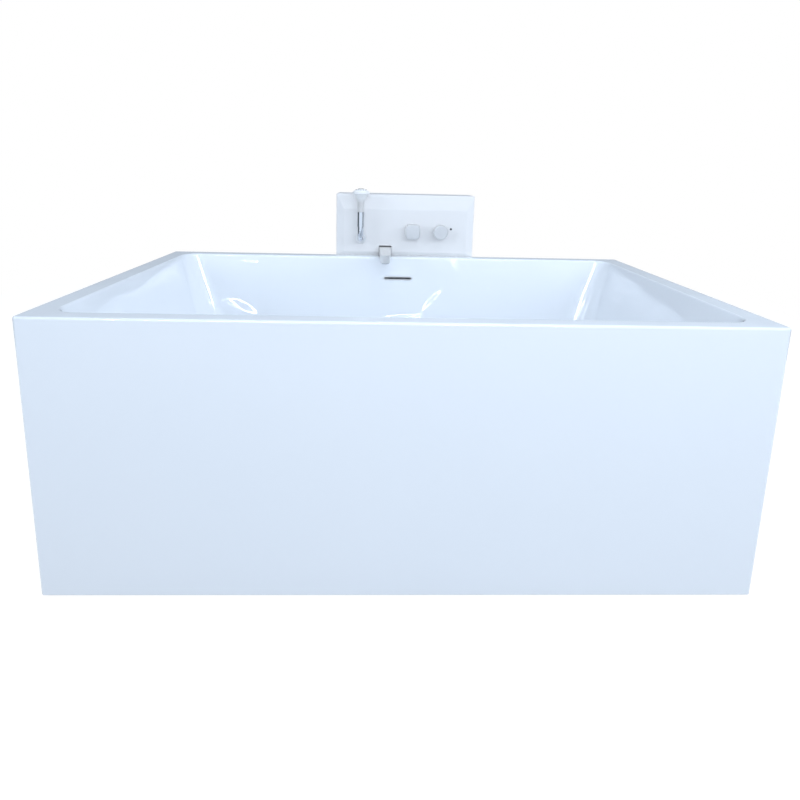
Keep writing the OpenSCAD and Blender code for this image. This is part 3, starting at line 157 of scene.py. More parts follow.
tree.links.new(towards_key.outputs["Value"], mirror_fade.inputs["Value"])
tree.links.new(facing.outputs["Generated"], elevation.inputs[0])
tree.links.new(elevation.outputs["Z"], upper_fade.inputs["Value"])
tree.links.new(mirror_fade.outputs[0], mirrored.inputs[0])
tree.links.new(upper_fade.outputs[0], mirrored.inputs[1])
tree.links.new(mirrored.outputs[0], mirror_light.inputs["Strength"])
tree.links.new(rays.outputs["Is Glossy Ray"], mirror_mix.inputs["Fac"])
tree.links.new(room_light.outputs[0], mirror_mix.inputs[1])
tree.links.new(mirror_light.outputs[0], mirror_mix.inputs[2])
tree.links.new(rays.outputs["Is Camera Ray"], room_mix.inputs["Fac"])
tree.links.new(mirror_mix.outputs[0], room_mix.inputs[1])
tree.links.new(room_white.outputs[0], room_mix.inputs[2])
tree.links.new(room_mix.outputs[0], room_output.inputs["Surface"])


def soft_box(name, place, aim, width, height, watts, glints=None):
    """Area lamp that lights but doesn't mirror, or that only mirrors in the pieces in glints."""
    lamp = bpy.data.lights.new(name, "AREA")
    lamp.shape = "RECTANGLE"
    lamp.size, lamp.size_y = width, height
    lamp.energy = watts
    lamp.color = daylight
    holder = bpy.data.objects.new(name, lamp)
    bpy.context.collection.objects.link(holder)
    towards = Vector(aim) - Vector(place)
    holder.matrix_world = Matrix.Translation(place) @ towards.to_track_quat("-Z", "Y").to_matrix().to_4x4()
    holder.visible_camera = False
    holder.visible_glossy = bool(glints)
    holder.visible_diffuse = not glints
    if glints:
        holder.light_linking.receiver_collection = glints


soft_box("front_key", (0.6, -3.1, 2.1), (0.1, 0.0, 0.7), 3.2, 1.0, 17.5)
soft_box("near_key", (0.6, -1.3, 1.5), (0.4, -0.4, 0.5), 2.6, 0.3, 10)
soft_box("ceiling", (0.6, -0.4, 3.0), (0.0, 0.0, 0.3), 2.4, 1.6, 18)
soft_box("left_fill", (-2.8, -1.3, 1.6), (0.0, 0.2, 0.6), 1.2, 1.2, 20)
soft_box("right_fill", (2.8, -0.6, 1.7), (0.0, 0.2, 0.6), 1.2, 1.2, 26)
wet_look = bpy.data.collections.new("wet_look")
soft_box("front_tube", (-0.15, -2.3, 1.45), (-0.15, 0.35, 0.5), 2.7, 0.19, 60, wet_look)
soft_box("left_window", (-1.7, -2.2, 1.80), (0.6, 0.33, 0.45), 0.2, 0.25, 7, wet_look)
soft_box("right_window", (1.9, -2.0, 1.80), (-0.6, 0.33, 0.45), 0.14, 0.2, 2.5, wet_look)
soft_box("side_window", (-1.9, -0.7, 1.62), (0.6, 0.33, 0.45), 0.15, 0.3, 1.5, wet_look)


# ---------- Basin ----------
# One sheet of white acrylic, drawn down over a former and backed with resin. It has a flat
# rim, a rolled outer edge, sloping ends, steep sides and wide curves down to its floor.

def pale_gloss(name, ripple, creases=()):
    """Cast acrylic: a clear gloss over a faintly cloudy white, never quite flat.

    A crease is its centre, half length, half width, angle in degrees and rise.
    """
    wander_reach, wall_reach = 0.010, 0.2
    material, tree, output = start_material(name)
    place = tree.nodes.new("ShaderNodeTexCoord")
    cloud = tree.nodes.new("ShaderNodeTexNoise")
    cloud.inputs["Scale"].default_value = 2.2
    cloud.inputs["Detail"].default_value = 2
    colour = tree.nodes.new("ShaderNodeMix")
    colour.data_type = "RGBA"
    colour.inputs["A"].default_value = (0.83, 0.85, 0.875, 1)
    colour.inputs["B"].default_value = (0.81, 0.835, 0.865, 1)
    wave = tree.nodes.new("ShaderNodeTexNoise")
    wave.inputs["Scale"].default_value = 5.5
    wave.inputs["Detail"].default_value = 1
    swell = tree.nodes.new("ShaderNodeMath")
    swell.operation = "MULTIPLY"
    swell.inputs[1].default_value = ripple
    tree.links.new(wave.outputs[0], swell.inputs[0])
    height = swell.outputs[0]
    chop = tree.nodes.new("ShaderNodeTexNoise")
    chop.inputs["Scale"].default_value = 16
    chop.inputs["Detail"].default_value = 1
    wander = tree.nodes.new("ShaderNodeVectorMath")
    wander.operation = "MULTIPLY_ADD"
    wander.inputs[1].default_value = (wander_reach, wander_reach, wander_reach)
    tree.links.new(place.outputs["Object"], chop.inputs["Vector"])
    tree.links.new(chop.outputs["Color"], wander.inputs[0])
    tree.links.new(place.outputs["Object"], wander.inputs[2])
    for centre, half_length, half_width, angle, rise in creases:
        along = tree.nodes.new("ShaderNodeMapping")
        along.vector_type = "TEXTURE"
        along.inputs["Location"].default_value = [c + wander_reach / 2 for c in centre]
        along.inputs["Rotation"].default_value = (0, radians(-angle), 0)
        along.inputs["Scale"].default_value = (half_length, wall_reach, half_width)
        apart = tree.nodes.new("ShaderNodeVectorMath")
        apart.operation = "LENGTH"
        crease = tree.nodes.new("ShaderNodeMapRange")
        crease.interpolation_type = "SMOOTHSTEP"
        crease.inputs["To Min"].default_value = rise
        crease.inputs["To Max"].default_value = 0
        total = tree.nodes.new("ShaderNodeMath")
        tree.links.new(wander.outputs[0], along.inputs["Vector"])
        tree.links.new(along.outputs[0], apart.inputs[0])
        tree.links.new(apart.outputs["Value"], crease.inputs["Value"])
        tree.links.new(crease.outputs[0], total.inputs[0])
        tree.links.new(height, total.inputs[1])
        height = total.outputs[0]
    relief = tree.nodes.new("ShaderNodeBump")
    relief.inputs["Strength"].default_value = 1.0
    relief.inputs["Distance"].default_value = 1.0
    gloss = tree.nodes.new("ShaderNodeBsdfPrincipled")
    gloss.inputs["Roughness"].default_value = 0.35
    gloss.inputs["IOR"].default_value = 1.49
    gloss.inputs["Specular IOR Level"].default_value = 0.2
    gloss.inputs["Coat Weight"].default_value = 1.0
    gloss.inputs["Coat IOR"].default_value = 1.49
    gloss.inputs["Coat Roughness"].default_value = 0.02
    tree.links.new(place.outputs["Object"], cloud.inputs["Vector"])
    tree.links.new(cloud.outputs[0], colour.inputs["Factor"])
    tree.links.new(colour.outputs["Result"], gloss.inputs["Base Color"])
    tree.links.new(place.outputs["Object"], wave.inputs["Vector"])
    tree.links.new(height, relief.inputs["Height"])
    tree.links.new(relief.outputs[0], gloss.inputs["Coat Normal"])
    tree.links.new(gloss.outputs[0], output.inputs["Surface"])
    return material


def round_ring(shape, half_x, half_y, corner, z, steps):
    """Edges of a rectangle with round corners, level at z, about the tub's middle."""
    known = set(shape.edges)
    sheet = bmesh.ops.create_grid(shape, x_segments=1, y_segments=1, size=1)["verts"]
    bmesh.ops.scale(shape, vec=(half_x, half_y, 1), verts=sheet)
    bmesh.ops.translate(shape, vec=(0, 0, z), verts=sheet)
    face = sheet[0].link_faces[0]
    bmesh.ops.bevel(
        shape, geom=sheet, offset=corner, segments=steps, profile=0.5, affect="VERTICES", material=-1
    )
    edges = [e for e in shape.edges if e not in known]
    bmesh.ops.delete(shape, geom=[edges[0].link_faces[0]], context="FACES_ONLY")
    return edges


def loft(shape, rings, steps):
    """Walls from each level ring to the next, given as (half_x, half_y, corner, z)."""
    edges = round_ring(shape, *rings[0], steps)
    for (x, y, corner, _), (next_x, next_y, next_corner, next_z) in zip(rings, rings[1:]):
        grown = bmesh.ops.extrude_edge_only(shape, edges=edges)["geom"]
        verts = {g for g in grown if isinstance(g, bmesh.types.BMVert)}
        for vert in verts:
            side_x, side_y = copysign(1, vert.co.x), copysign(1, vert.co.y)
            from_corner = vert.co - Vector((side_x * (x - corner), side_y * (y - corner), 0))
            vert.co.x = side_x * (next_x - next_corner) + from_corner.x * next_corner / corner
            vert.co.y = side_y * (next_y - next_corner) + from_corner.y * next_corner / corner
            vert.co.z = next_z
        edges = [g for g in grown if isinstance(g, bmesh.types.BMEdge) and verts.issuperset(g.verts)]
    return edges


def make_piece(shape, name, material, body="tub", sharp=35):
    """Turns a finished shape into a piece that moves with a body."""
    mesh = bpy.data.meshes.new(name)
    shape.to_mesh(mesh)
    shape.free()
    mesh.materials.append(material)
    mesh.shade_smooth()
    mesh.set_sharp_from_angle(angle=radians(sharp))
    piece = bpy.data.objects.new(name, mesh)
    bpy.context.collection.objects.link(piece)
    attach(piece, body)
    return piece


def thicken(piece, wall):
    """Gives an open skin its wall, behind the side that its faces look to."""
    sheet = piece.modifiers.new("wall", "SOLIDIFY")
    sheet.thickness = wall
    sheet.offset = -1
    sheet.use_even_offset = True


def cut(piece, shape):
    """Marks a shape to be taken out of a piece when it settles."""
    mesh = bpy.data.meshes.new("cutter")
    shape.to_mesh(mesh)
    shape.free()
    cutter = bpy.data.objects.new("cutter", mesh)
    bpy.context.collection.objects.link(cutter)
    saw = piece.modifiers.new("cut", "BOOLEAN")
    saw.operation = "DIFFERENCE"
    saw.solver = "EXACT"
    saw.object = cutter


def settle(piece, sharp=35):
    """Applies a piece's modifiers, removes its cutters and evens out the shading of its flats."""
    tools = [m.object for m in piece.modifiers if m.type == "BOOLEAN"]
    bpy.context.view_layer.update()
    shown = piece.evaluated_get(bpy.context.evaluated_depsgraph_get())
    old = piece.data
    made = bpy.data.meshes.new_from_object(shown)
    piece.modifiers.clear()
    piece.data = made
    made.name = piece.name
    bpy.data.meshes.remove(old)
    for tool in tools:
        bpy.data.objects.remove(tool)
    made.shade_smooth()
    made.set_sharp_from_angle(angle=radians(sharp))
    even = piece.modifiers.new("even_shading", "WEIGHTED_NORMAL")
    even.keep_sharp = True


creases = (
    ((-0.508, 0.34, 0.402), 0.110, 0.046, -25, 0.0092),
    ((0.017, 0.34, 0.392), 0.120, 0.024, 2, 0.0044),
    ((0.109, 0.34, 0.434), 0.100, 0.026, 52, 0.0066),
    ((0.202, 0.36, 0.556), 0.056, 0.018, -48, 0.0050),
    ((-0.488, 0.36, 0.571), 0.050, 0.014, -2, 0.0018),
)
acrylic = pale_gloss("acrylic", 0.004, creases)

low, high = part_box("basin_shell")
tub_half_x, tub_half_y, rim_z = high[0], high[1], high[2]
shell_t = 0.005
rim_roll = 0.005
outer_corner = 0.009
rim_end_w, rim_side_w = 0.050, 0.040
basin_floor_z = low[2] + shell_t
end_slope, side_slope = radians(17), radians(7)
end_fillet, side_fillet = 0.150, 0.090
mouth_corner, floor_corner = 0.045, 0.110
mouth_roll = 0.006
mouth_x, mouth_y = tub_half_x - rim_end_w, tub_half_y - rim_side_w
drain = Vector((0, 0.130, basin_floor_z))
drain_hole_r = 0.026
corner_steps = 14


def inner_half(z, half, slope, fillet):
    """Half width of the basin at a level: the rolled edge, the sloping wall and the floor's curve."""
    centre_z = basin_floor_z + fillet
    if z < centre_z - fillet * sin(slope):
        centre = half - (rim_z - centre_z) * tan(slope) - fillet / cos(slope)
        return centre + sqrt(max(0, fillet ** 2 - (centre_z - z) ** 2))
    wall = half - (rim_z - z) * tan(slope)
    if z > rim_z - mouth_roll * (1 - sin(slope)):
        centre = half + mouth_roll * (1 - sin(slope)) / cos(slope)
        return centre - sqrt(max(0, mouth_roll ** 2 - (z - rim_z + mouth_roll) ** 2))
    return wall


def basin_ring(z):
    """Size and corner radius of the basin's inside at a level, as loft takes them."""
    x = inner_half(z, mouth_x, end_slope, end_fillet)
    y = inner_half(z, mouth_y, side_slope, side_fillet)
    depth_share = (rim_z - z) / (rim_z - basin_floor_z)
    spread = max(0, y - (mouth_y - (rim_z - z) * tan(side_slope))) if z > rim_z - mouth_roll else 0
    return (x, y, mouth_corner + (floor_corner - mouth_corner) * depth_share + spread, z)


roll_steps, wall_steps, curve_steps = 6, 6, 18
rings = []
for step in range(roll_steps + 1):
    a = radians(90 * step / roll_steps)
    inwards = rim_roll * (1 - cos(a))
    rings.append((
        tub_half_x - inwards, tub_half_y - inwards, outer_corner - inwards,
        rim_z - rim_roll + rim_roll * sin(a),
    ))
for a in (90, 72, 56, 42, 28, 16):
    rings.append(basin_ring(rim_z - mouth_roll + mouth_roll * sin(radians(a))))
wall_top = rim_z - mouth_roll
curve_top = basin_floor_z + end_fillet * (1 - sin(end_slope))
for step in range(wall_steps + 1):
    rings.append(basin_ring(wall_top - (wall_top - curve_top) * step / wall_steps))
for step in range(1, curve_steps + 1):
    a = end_slope + (pi / 2 - end_slope) * step / curve_steps
    rings.append(basin_ring(basin_floor_z + end_fillet * (1 - sin(a))))

shape = bmesh.new()
floor_edges = loft(shape, rings, corner_steps)
drain_ring = bmesh.ops.create_circle(shape, segments=40, radius=drain_hole_r)["verts"]
bmesh.ops.translate(shape, vec=drain, verts=drain_ring)
drain_edges = list({e for v in drain_ring for e in v.link_edges})
bmesh.ops.triangle_fill(
    shape, edges=floor_edges + drain_edges, use_beauty=True, normal=Vector((0, 0, 1))
)
bmesh.ops.remove_doubles(shape, verts=shape.verts, dist=1e-6)
bmesh.ops.recalc_face_normals(shape, faces=shape.faces)
floor_face = min(shape.faces, key=lambda f: f.calc_center_median().z)
if floor_face.normal.z < 0:
    bmesh.ops.reverse_faces(shape, faces=shape.faces)
tub_basin = make_piece(shape, "tub_basin", acrylic)
thicken(tub_basin, shell_t)

slot_z = 0.530
slot_wall_y = inner_half(slot_z, mouth_y, side_slope, side_fillet)
slot_hole_w, slot_hole_h = 0.0908, 0.0093
slot_steps, slot_bar = 8, 0.04
shape = bmesh.new()
slot_ring = round_ring(
    shape, slot_hole_w / 2, slot_hole_h / 2, slot_hole_h / 2 - 1e-5, -slot_bar / 2, slot_steps
)
slot_face = bmesh.ops.contextual_create(shape, geom=slot_ring)["faces"]
grown = bmesh.ops.extrude_face_region(shape, geom=slot_face)["geom"]
far_verts = [g for g in grown if isinstance(g, bmesh.types.BMVert)]
bmesh.ops.translate(shape, vec=(0, 0, slot_bar), verts=far_verts)
bmesh.ops.recalc_face_normals(shape, faces=shape.faces)
bmesh.ops.rotate(shape, matrix=Matrix.Rotation(pi / 2 + side_slope, 3, "X"), verts=shape.verts)
bmesh.ops.translate(shape, vec=(0, slot_wall_y, slot_z), verts=shape.verts)
cut(tub_basin, shape)
settle(tub_basin)
wet_look.objects.link(tub_basin)
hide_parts("basin_shell")


# ---------- Skirt ----------
# The four plain outer walls, folded from one acrylic sheet and backed with resin. The basin's
# lip is bonded inside its top edge, and the joint is polished flush so that no seam shows.

skirt_low_z, skirt_top_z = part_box("outer_skirt")[0][2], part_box("outer_skirt")[1][2]
skirt_t = 0.005
skirt_edge, edge_steps = 0.0015, 3
shape = bmesh.new()
outside = [(tub_half_x, tub_half_y, outer_corner, skirt_top_z)]
for step in range(edge_steps + 1):
    a = radians(90 * step / edge_steps)
    inwards = skirt_edge * (1 - cos(a))
    outside.append((
        tub_half_x - inwards, tub_half_y - inwards, outer_corner - inwards,
        skirt_low_z + skirt_edge * (1 - sin(a)),
    ))
inner = (tub_half_x - skirt_t, tub_half_y - skirt_t, outer_corner - skirt_t)
loft(shape, outside + [(*inner, skirt_low_z), (*inner, skirt_top_z), outside[0]], 10)
bmesh.ops.remove_doubles(shape, verts=shape.verts, dist=1e-6)
bmesh.ops.recalc_face_normals(shape, faces=shape.faces)
skirt_acrylic = pale_gloss("skirt_acrylic", 0.0006)
tub_skirt = make_piece(shape, "tub_skirt", skirt_acrylic)
settle(tub_skirt)
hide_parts("outer_skirt")


# ---------- Timber ----------
# Softwood battens stiffen the rim from below, and a particle board is laminated under the
# basin's floor, where the frame is screwed to it. Both are sealed with a thin coat of resin.

def dress(material, *names):
    """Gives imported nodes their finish."""
    for name in names:
        mesh = nodes[name].data
        mesh.materials.clear()
        mesh.materials.append(material)


def wood(name, pale, dark, grain_scale, stretch):
    """Sealed timber or board: dark grain on a pale ground, drawn out along the piece."""
    material, tree, output = start_material(name)
    place = tree.nodes.new("ShaderNodeTexCoord")
    along = tree.nodes.new("ShaderNodeMapping")
    along.inputs["Scale"].default_value = stretch
    grain = tree.nodes.new("ShaderNodeTexNoise")
    grain.inputs["Scale"].default_value = grain_scale
    grain.inputs["Detail"].default_value = 8
    grain.inputs["Distortion"].default_value = 0.6
    ramp = tree.nodes.new("ShaderNodeValToRGB")
    ramp.color_ramp.elements[0].position, ramp.color_ramp.elements[1].position = 0.35, 0.68
    ramp.color_ramp.elements[0].color = (*dark, 1)
    ramp.color_ramp.elements[1].color = (*pale, 1)
    relief = tree.nodes.new("ShaderNodeBump")
    relief.inputs["Strength"].default_value = 0.3
    relief.inputs["Distance"].default_value = 0.0006
    surface = tree.nodes.new("ShaderNodeBsdfPrincipled")
    surface.inputs["Roughness"].default_value = 0.6
    tree.links.new(place.outputs["Object"], along.inputs["Vector"])
    tree.links.new(along.outputs[0], grain.inputs["Vector"])
    tree.links.new(grain.outputs[0], ramp.inputs[0])
    tree.links.new(ramp.outputs[0], surface.inputs["Base Color"])
    tree.links.new(grain.outputs[0], relief.inputs["Height"])
    tree.links.new(relief.outputs[0], surface.inputs["Normal"])
    tree.links.new(surface.outputs[0], output.inputs["Surface"])
    return material


dress(wood("softwood", (0.68, 0.48, 0.28), (0.48, 0.30, 0.15), 9, (1, 14, 14)), "rim_battens")
dress(wood("particle_board", (0.52, 0.38, 0.24), (0.33, 0.22, 0.12), 130, (1, 1, 1)), "base_board")


# ---------- Frame ----------
# Square steel tubes, galvanised, with flat brackets that hold the skirt. Five threaded studs
# with lock nuts carry the tub on round rubber-faced feet.

def metal(name, bright, dull, roughness, grain_scale, relief_depth):
    """Bare or plated metal with its own grain: spangle, a blasted skin or a drawn surface."""
    material, tree, output = start_material(name)
    place = tree.nodes.new("ShaderNodeTexCoord")
    grain = tree.nodes.new("ShaderNodeTexNoise")
    grain.inputs["Scale"].default_value = grain_scale
    grain.inputs["Detail"].default_value = 4
    colour = tree.nodes.new("ShaderNodeMix")
    colour.data_type = "RGBA"
    colour.inputs["A"].default_value = (*bright, 1)
    colour.inputs["B"].default_value = (*dull, 1)
    haze = tree.nodes.new("ShaderNodeMapRange")
    haze.inputs["To Min"].default_value = roughness * 0.8
    haze.inputs["To Max"].default_value = roughness * 1.25
    relief = tree.nodes.new("ShaderNodeBump")
    relief.inputs["Strength"].default_value = 0.25
    relief.inputs["Distance"].default_value = relief_depth
    surface = tree.nodes.new("ShaderNodeBsdfPrincipled")
    surface.inputs["Metallic"].default_value = 1
    tree.links.new(place.outputs["Object"], grain.inputs["Vector"])
    tree.links.new(grain.outputs[0], colour.inputs["Factor"])
    tree.links.new(grain.outputs[0], haze.inputs["Value"])
    tree.links.new(grain.outputs[0], relief.inputs["Height"])
    tree.links.new(colour.outputs["Result"], surface.inputs["Base Color"])
    tree.links.new(haze.outputs[0], surface.inputs["Roughness"])
    tree.links.new(relief.outputs[0], surface.inputs["Normal"])
    tree.links.new(surface.outputs[0], output.inputs["Surface"])
    return material


def plain_plastic(name, tint, shade, roughness, grain_scale, relief_depth):
    """Moulded plastic, rubber or powder coat, with the fine skin that its mould or oven leaves."""
    material, tree, output = start_material(name)
    place = tree.nodes.new("ShaderNodeTexCoord")
    cloud = tree.nodes.new("ShaderNodeTexNoise")
    cloud.inputs["Scale"].default_value = 18
    colour = tree.nodes.new("ShaderNodeMix")
    colour.data_type = "RGBA"
    colour.inputs["A"].default_value = (*tint, 1)
    colour.inputs["B"].default_value = (*shade, 1)
    skin = tree.nodes.new("ShaderNodeTexNoise")
    skin.inputs["Scale"].default_value = grain_scale
    skin.inputs["Detail"].default_value = 3
    relief = tree.nodes.new("ShaderNodeBump")
    relief.inputs["Strength"].default_value = 0.35
    relief.inputs["Distance"].default_value = relief_depth
    surface = tree.nodes.new("ShaderNodeBsdfPrincipled")
    surface.inputs["Roughness"].default_value = roughness
    surface.inputs["Specular IOR Level"].default_value = 0.3
    tree.links.new(place.outputs["Object"], cloud.inputs["Vector"])
    tree.links.new(place.outputs["Object"], skin.inputs["Vector"])
    tree.links.new(cloud.outputs[0], colour.inputs["Factor"])
    tree.links.new(colour.outputs["Result"], surface.inputs["Base Color"])
    tree.links.new(skin.outputs[0], relief.inputs["Height"])
    tree.links.new(relief.outputs[0], surface.inputs["Normal"])
    tree.links.new(surface.outputs[0], output.inputs["Surface"])
    return material


galvanised = metal("galvanised_steel", (0.62, 0.64, 0.66), (0.40, 0.42, 0.45), 0.42, 90, 0.0002)
zinc = metal("zinc_plate", (0.74, 0.75, 0.76), (0.58, 0.60, 0.63), 0.30, 260, 0.0001)
black_rubber = plain_plastic("black_rubber", (0.030, 0.031, 0.033), (0.045, 0.046, 0.050), 0.72, 900, 0.0002)
dress(galvanised, "frame_rails", "cross_members", "foot_plate", "skirt_brackets")
dress(zinc, "foot_studs", "foot_nuts", "frame_screws")
dress(black_rubber, "foot_pads")


# ---------- Waste ----------
# A chromed flange is clamped through the basin's floor by a nut from below. A push-push
# cartridge on its spider latches the domed plug, and a tee and tailpiece lead to the drain.

def turned(profile, centre):
    """Shape made by turning a line of (radius, height) points once round an upright axis."""
    steps = 64
    shape = bmesh.new()
    line = [shape.verts.new((r, 0, z)) for r, z in profile]
    edges = [shape.edges.new(pair) for pair in zip(line, line[1:])]
    bmesh.ops.spin(
        shape, geom=line + edges, cent=(0, 0, 0), axis=(0, 0, 1), angle=2 * pi, steps=steps,
        use_merge=True, use_duplicate=False,
    )
    bmesh.ops.remove_doubles(shape, verts=shape.verts, dist=1e-6)
    bmesh.ops.recalc_face_normals(shape, faces=shape.faces)
    bmesh.ops.translate(shape, vec=centre, verts=shape.verts)
    return shape


chrome = metal("chrome", (0.80, 0.82, 0.85), (0.74, 0.76, 0.80), 0.07, 40, 0.00002)
brass = metal("brass", (0.78, 0.60, 0.30), (0.66, 0.48, 0.22), 0.30, 120, 0.0001)
waste_plastic = plain_plastic("white_pipe", (0.88, 0.88, 0.88), (0.84, 0.84, 0.85), 0.38, 500, 0.0001)
dress(chrome, "drain_flange", "plug_stem")
dress(black_rubber, "drain_gasket", "drain_washer", "plug_seal")
dress(waste_plastic, "drain_nut", "waste_tee", "tail_nut", "tailpiece")
dress(brass, "click_cartridge")

cap_low, cap_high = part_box("plug_cap")
cap_r, cap_h, cap_edge = cap_high[0], cap_high[2] - cap_low[2], 0.0015
ball_r = (cap_r ** 2 + (cap_h - cap_edge) ** 2) / (2 * (cap_h - cap_edge))
dome_steps = 12
profile = [(0, 0), (cap_r - 0.0008, 0), (cap_r - 0.0002, 0.0003), (cap_r, 0.0008), (cap_r, cap_edge - 0.0003)]
for step in range(dome_steps + 1):
    out = (cap_r - 0.0004) * (1 - step / dome_steps)
    profile.append((out, cap_h - ball_r + sqrt(ball_r ** 2 - out ** 2)))
shape = turned(profile, (drain.x, drain.y, cap_low[2]))
plug_dome = make_piece(shape, "plug_dome", chrome, "drain_plug")
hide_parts("plug_cap")


# ---------- Overflow ----------
# A slim metal liner sits in the slot, and a plastic box behind the wall leads spilled water
# down a bent pipe to the waste tee.

pearl_chrome = metal("pearl_chrome", (0.95, 0.94, 0.92), (0.93, 0.92, 0.90), 0.40, 200, 0.00004)
dress(pearl_chrome, "overflow_trim")
pale_silicone = plain_plastic("pale_silicone", (0.86, 0.87, 0.88), (0.83, 0.84, 0.86), 0.5, 500, 0.0001)
dress(pale_silicone, "overflow_gasket")
dress(waste_plastic, "overflow_box", "overflow_pipe")


# ---------- Console housing ----------
# A folded sheet-steel case behind the tub, coated pale grey, which hides the pipes. It stands
# on pads, is open at the back for its cover and has a window behind the moulded front.

console_coat = plain_plastic("console_coat", (0.825, 0.805, 0.79), (0.805, 0.785, 0.77), 0.30, 420, 0.00006)
grey_plastic = plain_plastic("grey_plastic", (0.30, 0.32, 0.35), (0.26, 0.28, 0.31), 0.50, 500, 0.0001)

case_low, case_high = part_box("console_housing")
case_t = 0.003
case_fold = 0.003
window_edge_x = 0.012
window_low_z, window_top_z = 0.607, case_high[2] - 0.009


def boxed(low, high):
    """Closed box between two corners."""
    shape = bmesh.new()
    bmesh.ops.create_cube(shape, size=1)
    low, high = Vector(low), Vector(high)
    bmesh.ops.scale(shape, vec=high - low, verts=shape.verts)
    bmesh.ops.translate(shape, vec=(low + high) / 2, verts=shape.verts)
    return shape


shape = boxed(case_low, case_high)
open_faces = [f for f in shape.faces if f.normal.y > 0.9 or f.normal.z < -0.9]
bmesh.ops.delete(shape, geom=open_faces, context="FACES")
folds = [e for e in shape.edges if len(e.link_faces) == 2]
bmesh.ops.bevel(
    shape, geom=folds, offset=case_fold, segments=4, profile=0.5, affect="EDGES", material=-1
)
for point, normal in (
    ((case_low[0] + window_edge_x, 0, 0), (1, 0, 0)),
    ((case_high[0] - window_edge_x, 0, 0), (1, 0, 0)),
    ((0, 0, window_low_z), (0, 0, 1)),
    ((0, 0, window_top_z), (0, 0, 1)),
):
    bmesh.ops.bisect_plane(
        shape, geom=[*shape.verts, *shape.edges, *shape.faces], plane_co=point, plane_no=normal
    )
pane = []
for face in shape.faces:
    middle = face.calc_center_median()
    if (
        face.normal.y < -0.99
        and case_low[0] + window_edge_x < middle.x < case_high[0] - window_edge_x
        and window_low_z < middle.z < window_top_z
    ):
        pane.append(face)
bmesh.ops.delete(shape, geom=pane, context="FACES")
console_case = make_piece(shape, "console_case", console_coat)
thicken(console_case, case_t)
settle(console_case)
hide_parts("console_housing")

dress(console_coat, "back_cover")
dress(grey_plastic, "console_base")
dress(black_rubber, "console_pads")
dress(zinc, "console_screws", "console_bolts", "fascia_screws")
dress(grey_plastic, "console_spacers")
dress(galvanised, "mounting_plate")


# ---------- Console front ----------
# A moulding in the same pale grey, with a raised flat face between four bevels. It is screwed
# on from behind, and is notched at the bottom where the spout comes through.

front_low, front_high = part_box("fascia")
front_back_y = case_low[1]
front_t = 0.003
lip = 0.012
face_in_x, face_in_low, face_in_top = 0.025, 0.012, 0.050
seam = 0.0005
shape = boxed((front_low[0], front_low[1], rim_z + seam), (front_high[0], front_back_y, front_high[2]))
bmesh.ops.bisect_plane(
    shape, geom=[*shape.verts, *shape.edges, *shape.faces],
    plane_co=(0, front_back_y - lip, 0), plane_no=(0, 1, 0),
)
middle_x, middle_z = (front_low[0] + front_high[0]) / 2, (front_low[2] + front_high[2]) / 2
for vert in shape.verts:
    if vert.co.y < front_back_y - lip - 0.001:
        vert.co.x += face_in_x if vert.co.x < middle_x else -face_in_x
        vert.co.z += face_in_low if vert.co.z < middle_z else -face_in_top
back_face = [f for f in shape.faces if f.normal.y > 0.9]
bmesh.ops.delete(shape, geom=back_face, context="FACES")
front_edge = 0.002
ridges = []
for edge in shape.edges:
    off_the_rim = max(v.co.z for v in edge.verts) > rim_z + face_in_low / 2
    if len(edge.link_faces) == 2 and edge.calc_face_angle() > radians(6) and off_the_rim:
        ridges.append(edge)
bmesh.ops.bevel(
    shape, geom=ridges, offset=front_edge, segments=3, profile=0.5, affect="EDGES", material=-1,
    clamp_overlap=True,
)
console_front = make_piece(shape, "console_front", console_coat, sharp=50)
thicken(console_front, front_t)
spout_low, spout_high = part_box("spout")
notch_gap, notch_side, notch_past = 0.002, 0.0002, 0.02
cut(console_front, boxed(
    (spout_low[0] - notch_side, front_low[1] - notch_past, front_low[2] - notch_past),
    (spout_high[0] + notch_side, front_back_y + notch_past, spout_high[2] + notch_gap),
))
settle(console_front, 50)
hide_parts("fascia")
index_black = plain_plastic("index_black", (0.02, 0.02, 0.025), (0.03, 0.03, 0.035), 0.4, 600, 0.00005)
dress(index_black, "index_dot")


# ---------- Valve ----------
# A brass body with two cartridges hangs behind the mounting plate. Copper pipes bring hot and
# cold up from the unions at the floor, and lead to the spout and the hand shower.

copper = metal("copper", (0.80, 0.45, 0.32), (0.62, 0.33, 0.22), 0.28, 60, 0.0001)
dress(brass, "valve_body", "temperature_cartridge", "cartridge_nuts", "flow_spindle")
dress(brass, "temperature_spindle", "inlet_unions", "fitting_nuts")
dress(waste_plastic, "flow_cartridge")
dress(copper, "supply_pipes", "spout_feed", "handset_feed")


# ---------- Knobs ----------
# Two satin knobs: a soft square one for the flow and a round one for the temperature. Each
# has a rounded front edge and is pushed onto its shaft in front of a slim collar.

satin = metal("satin_chrome", (0.95, 0.94, 0.93), (0.93, 0.92, 0.91), 0.36, 200, 0.00004)
dress(satin, "knob_collars")


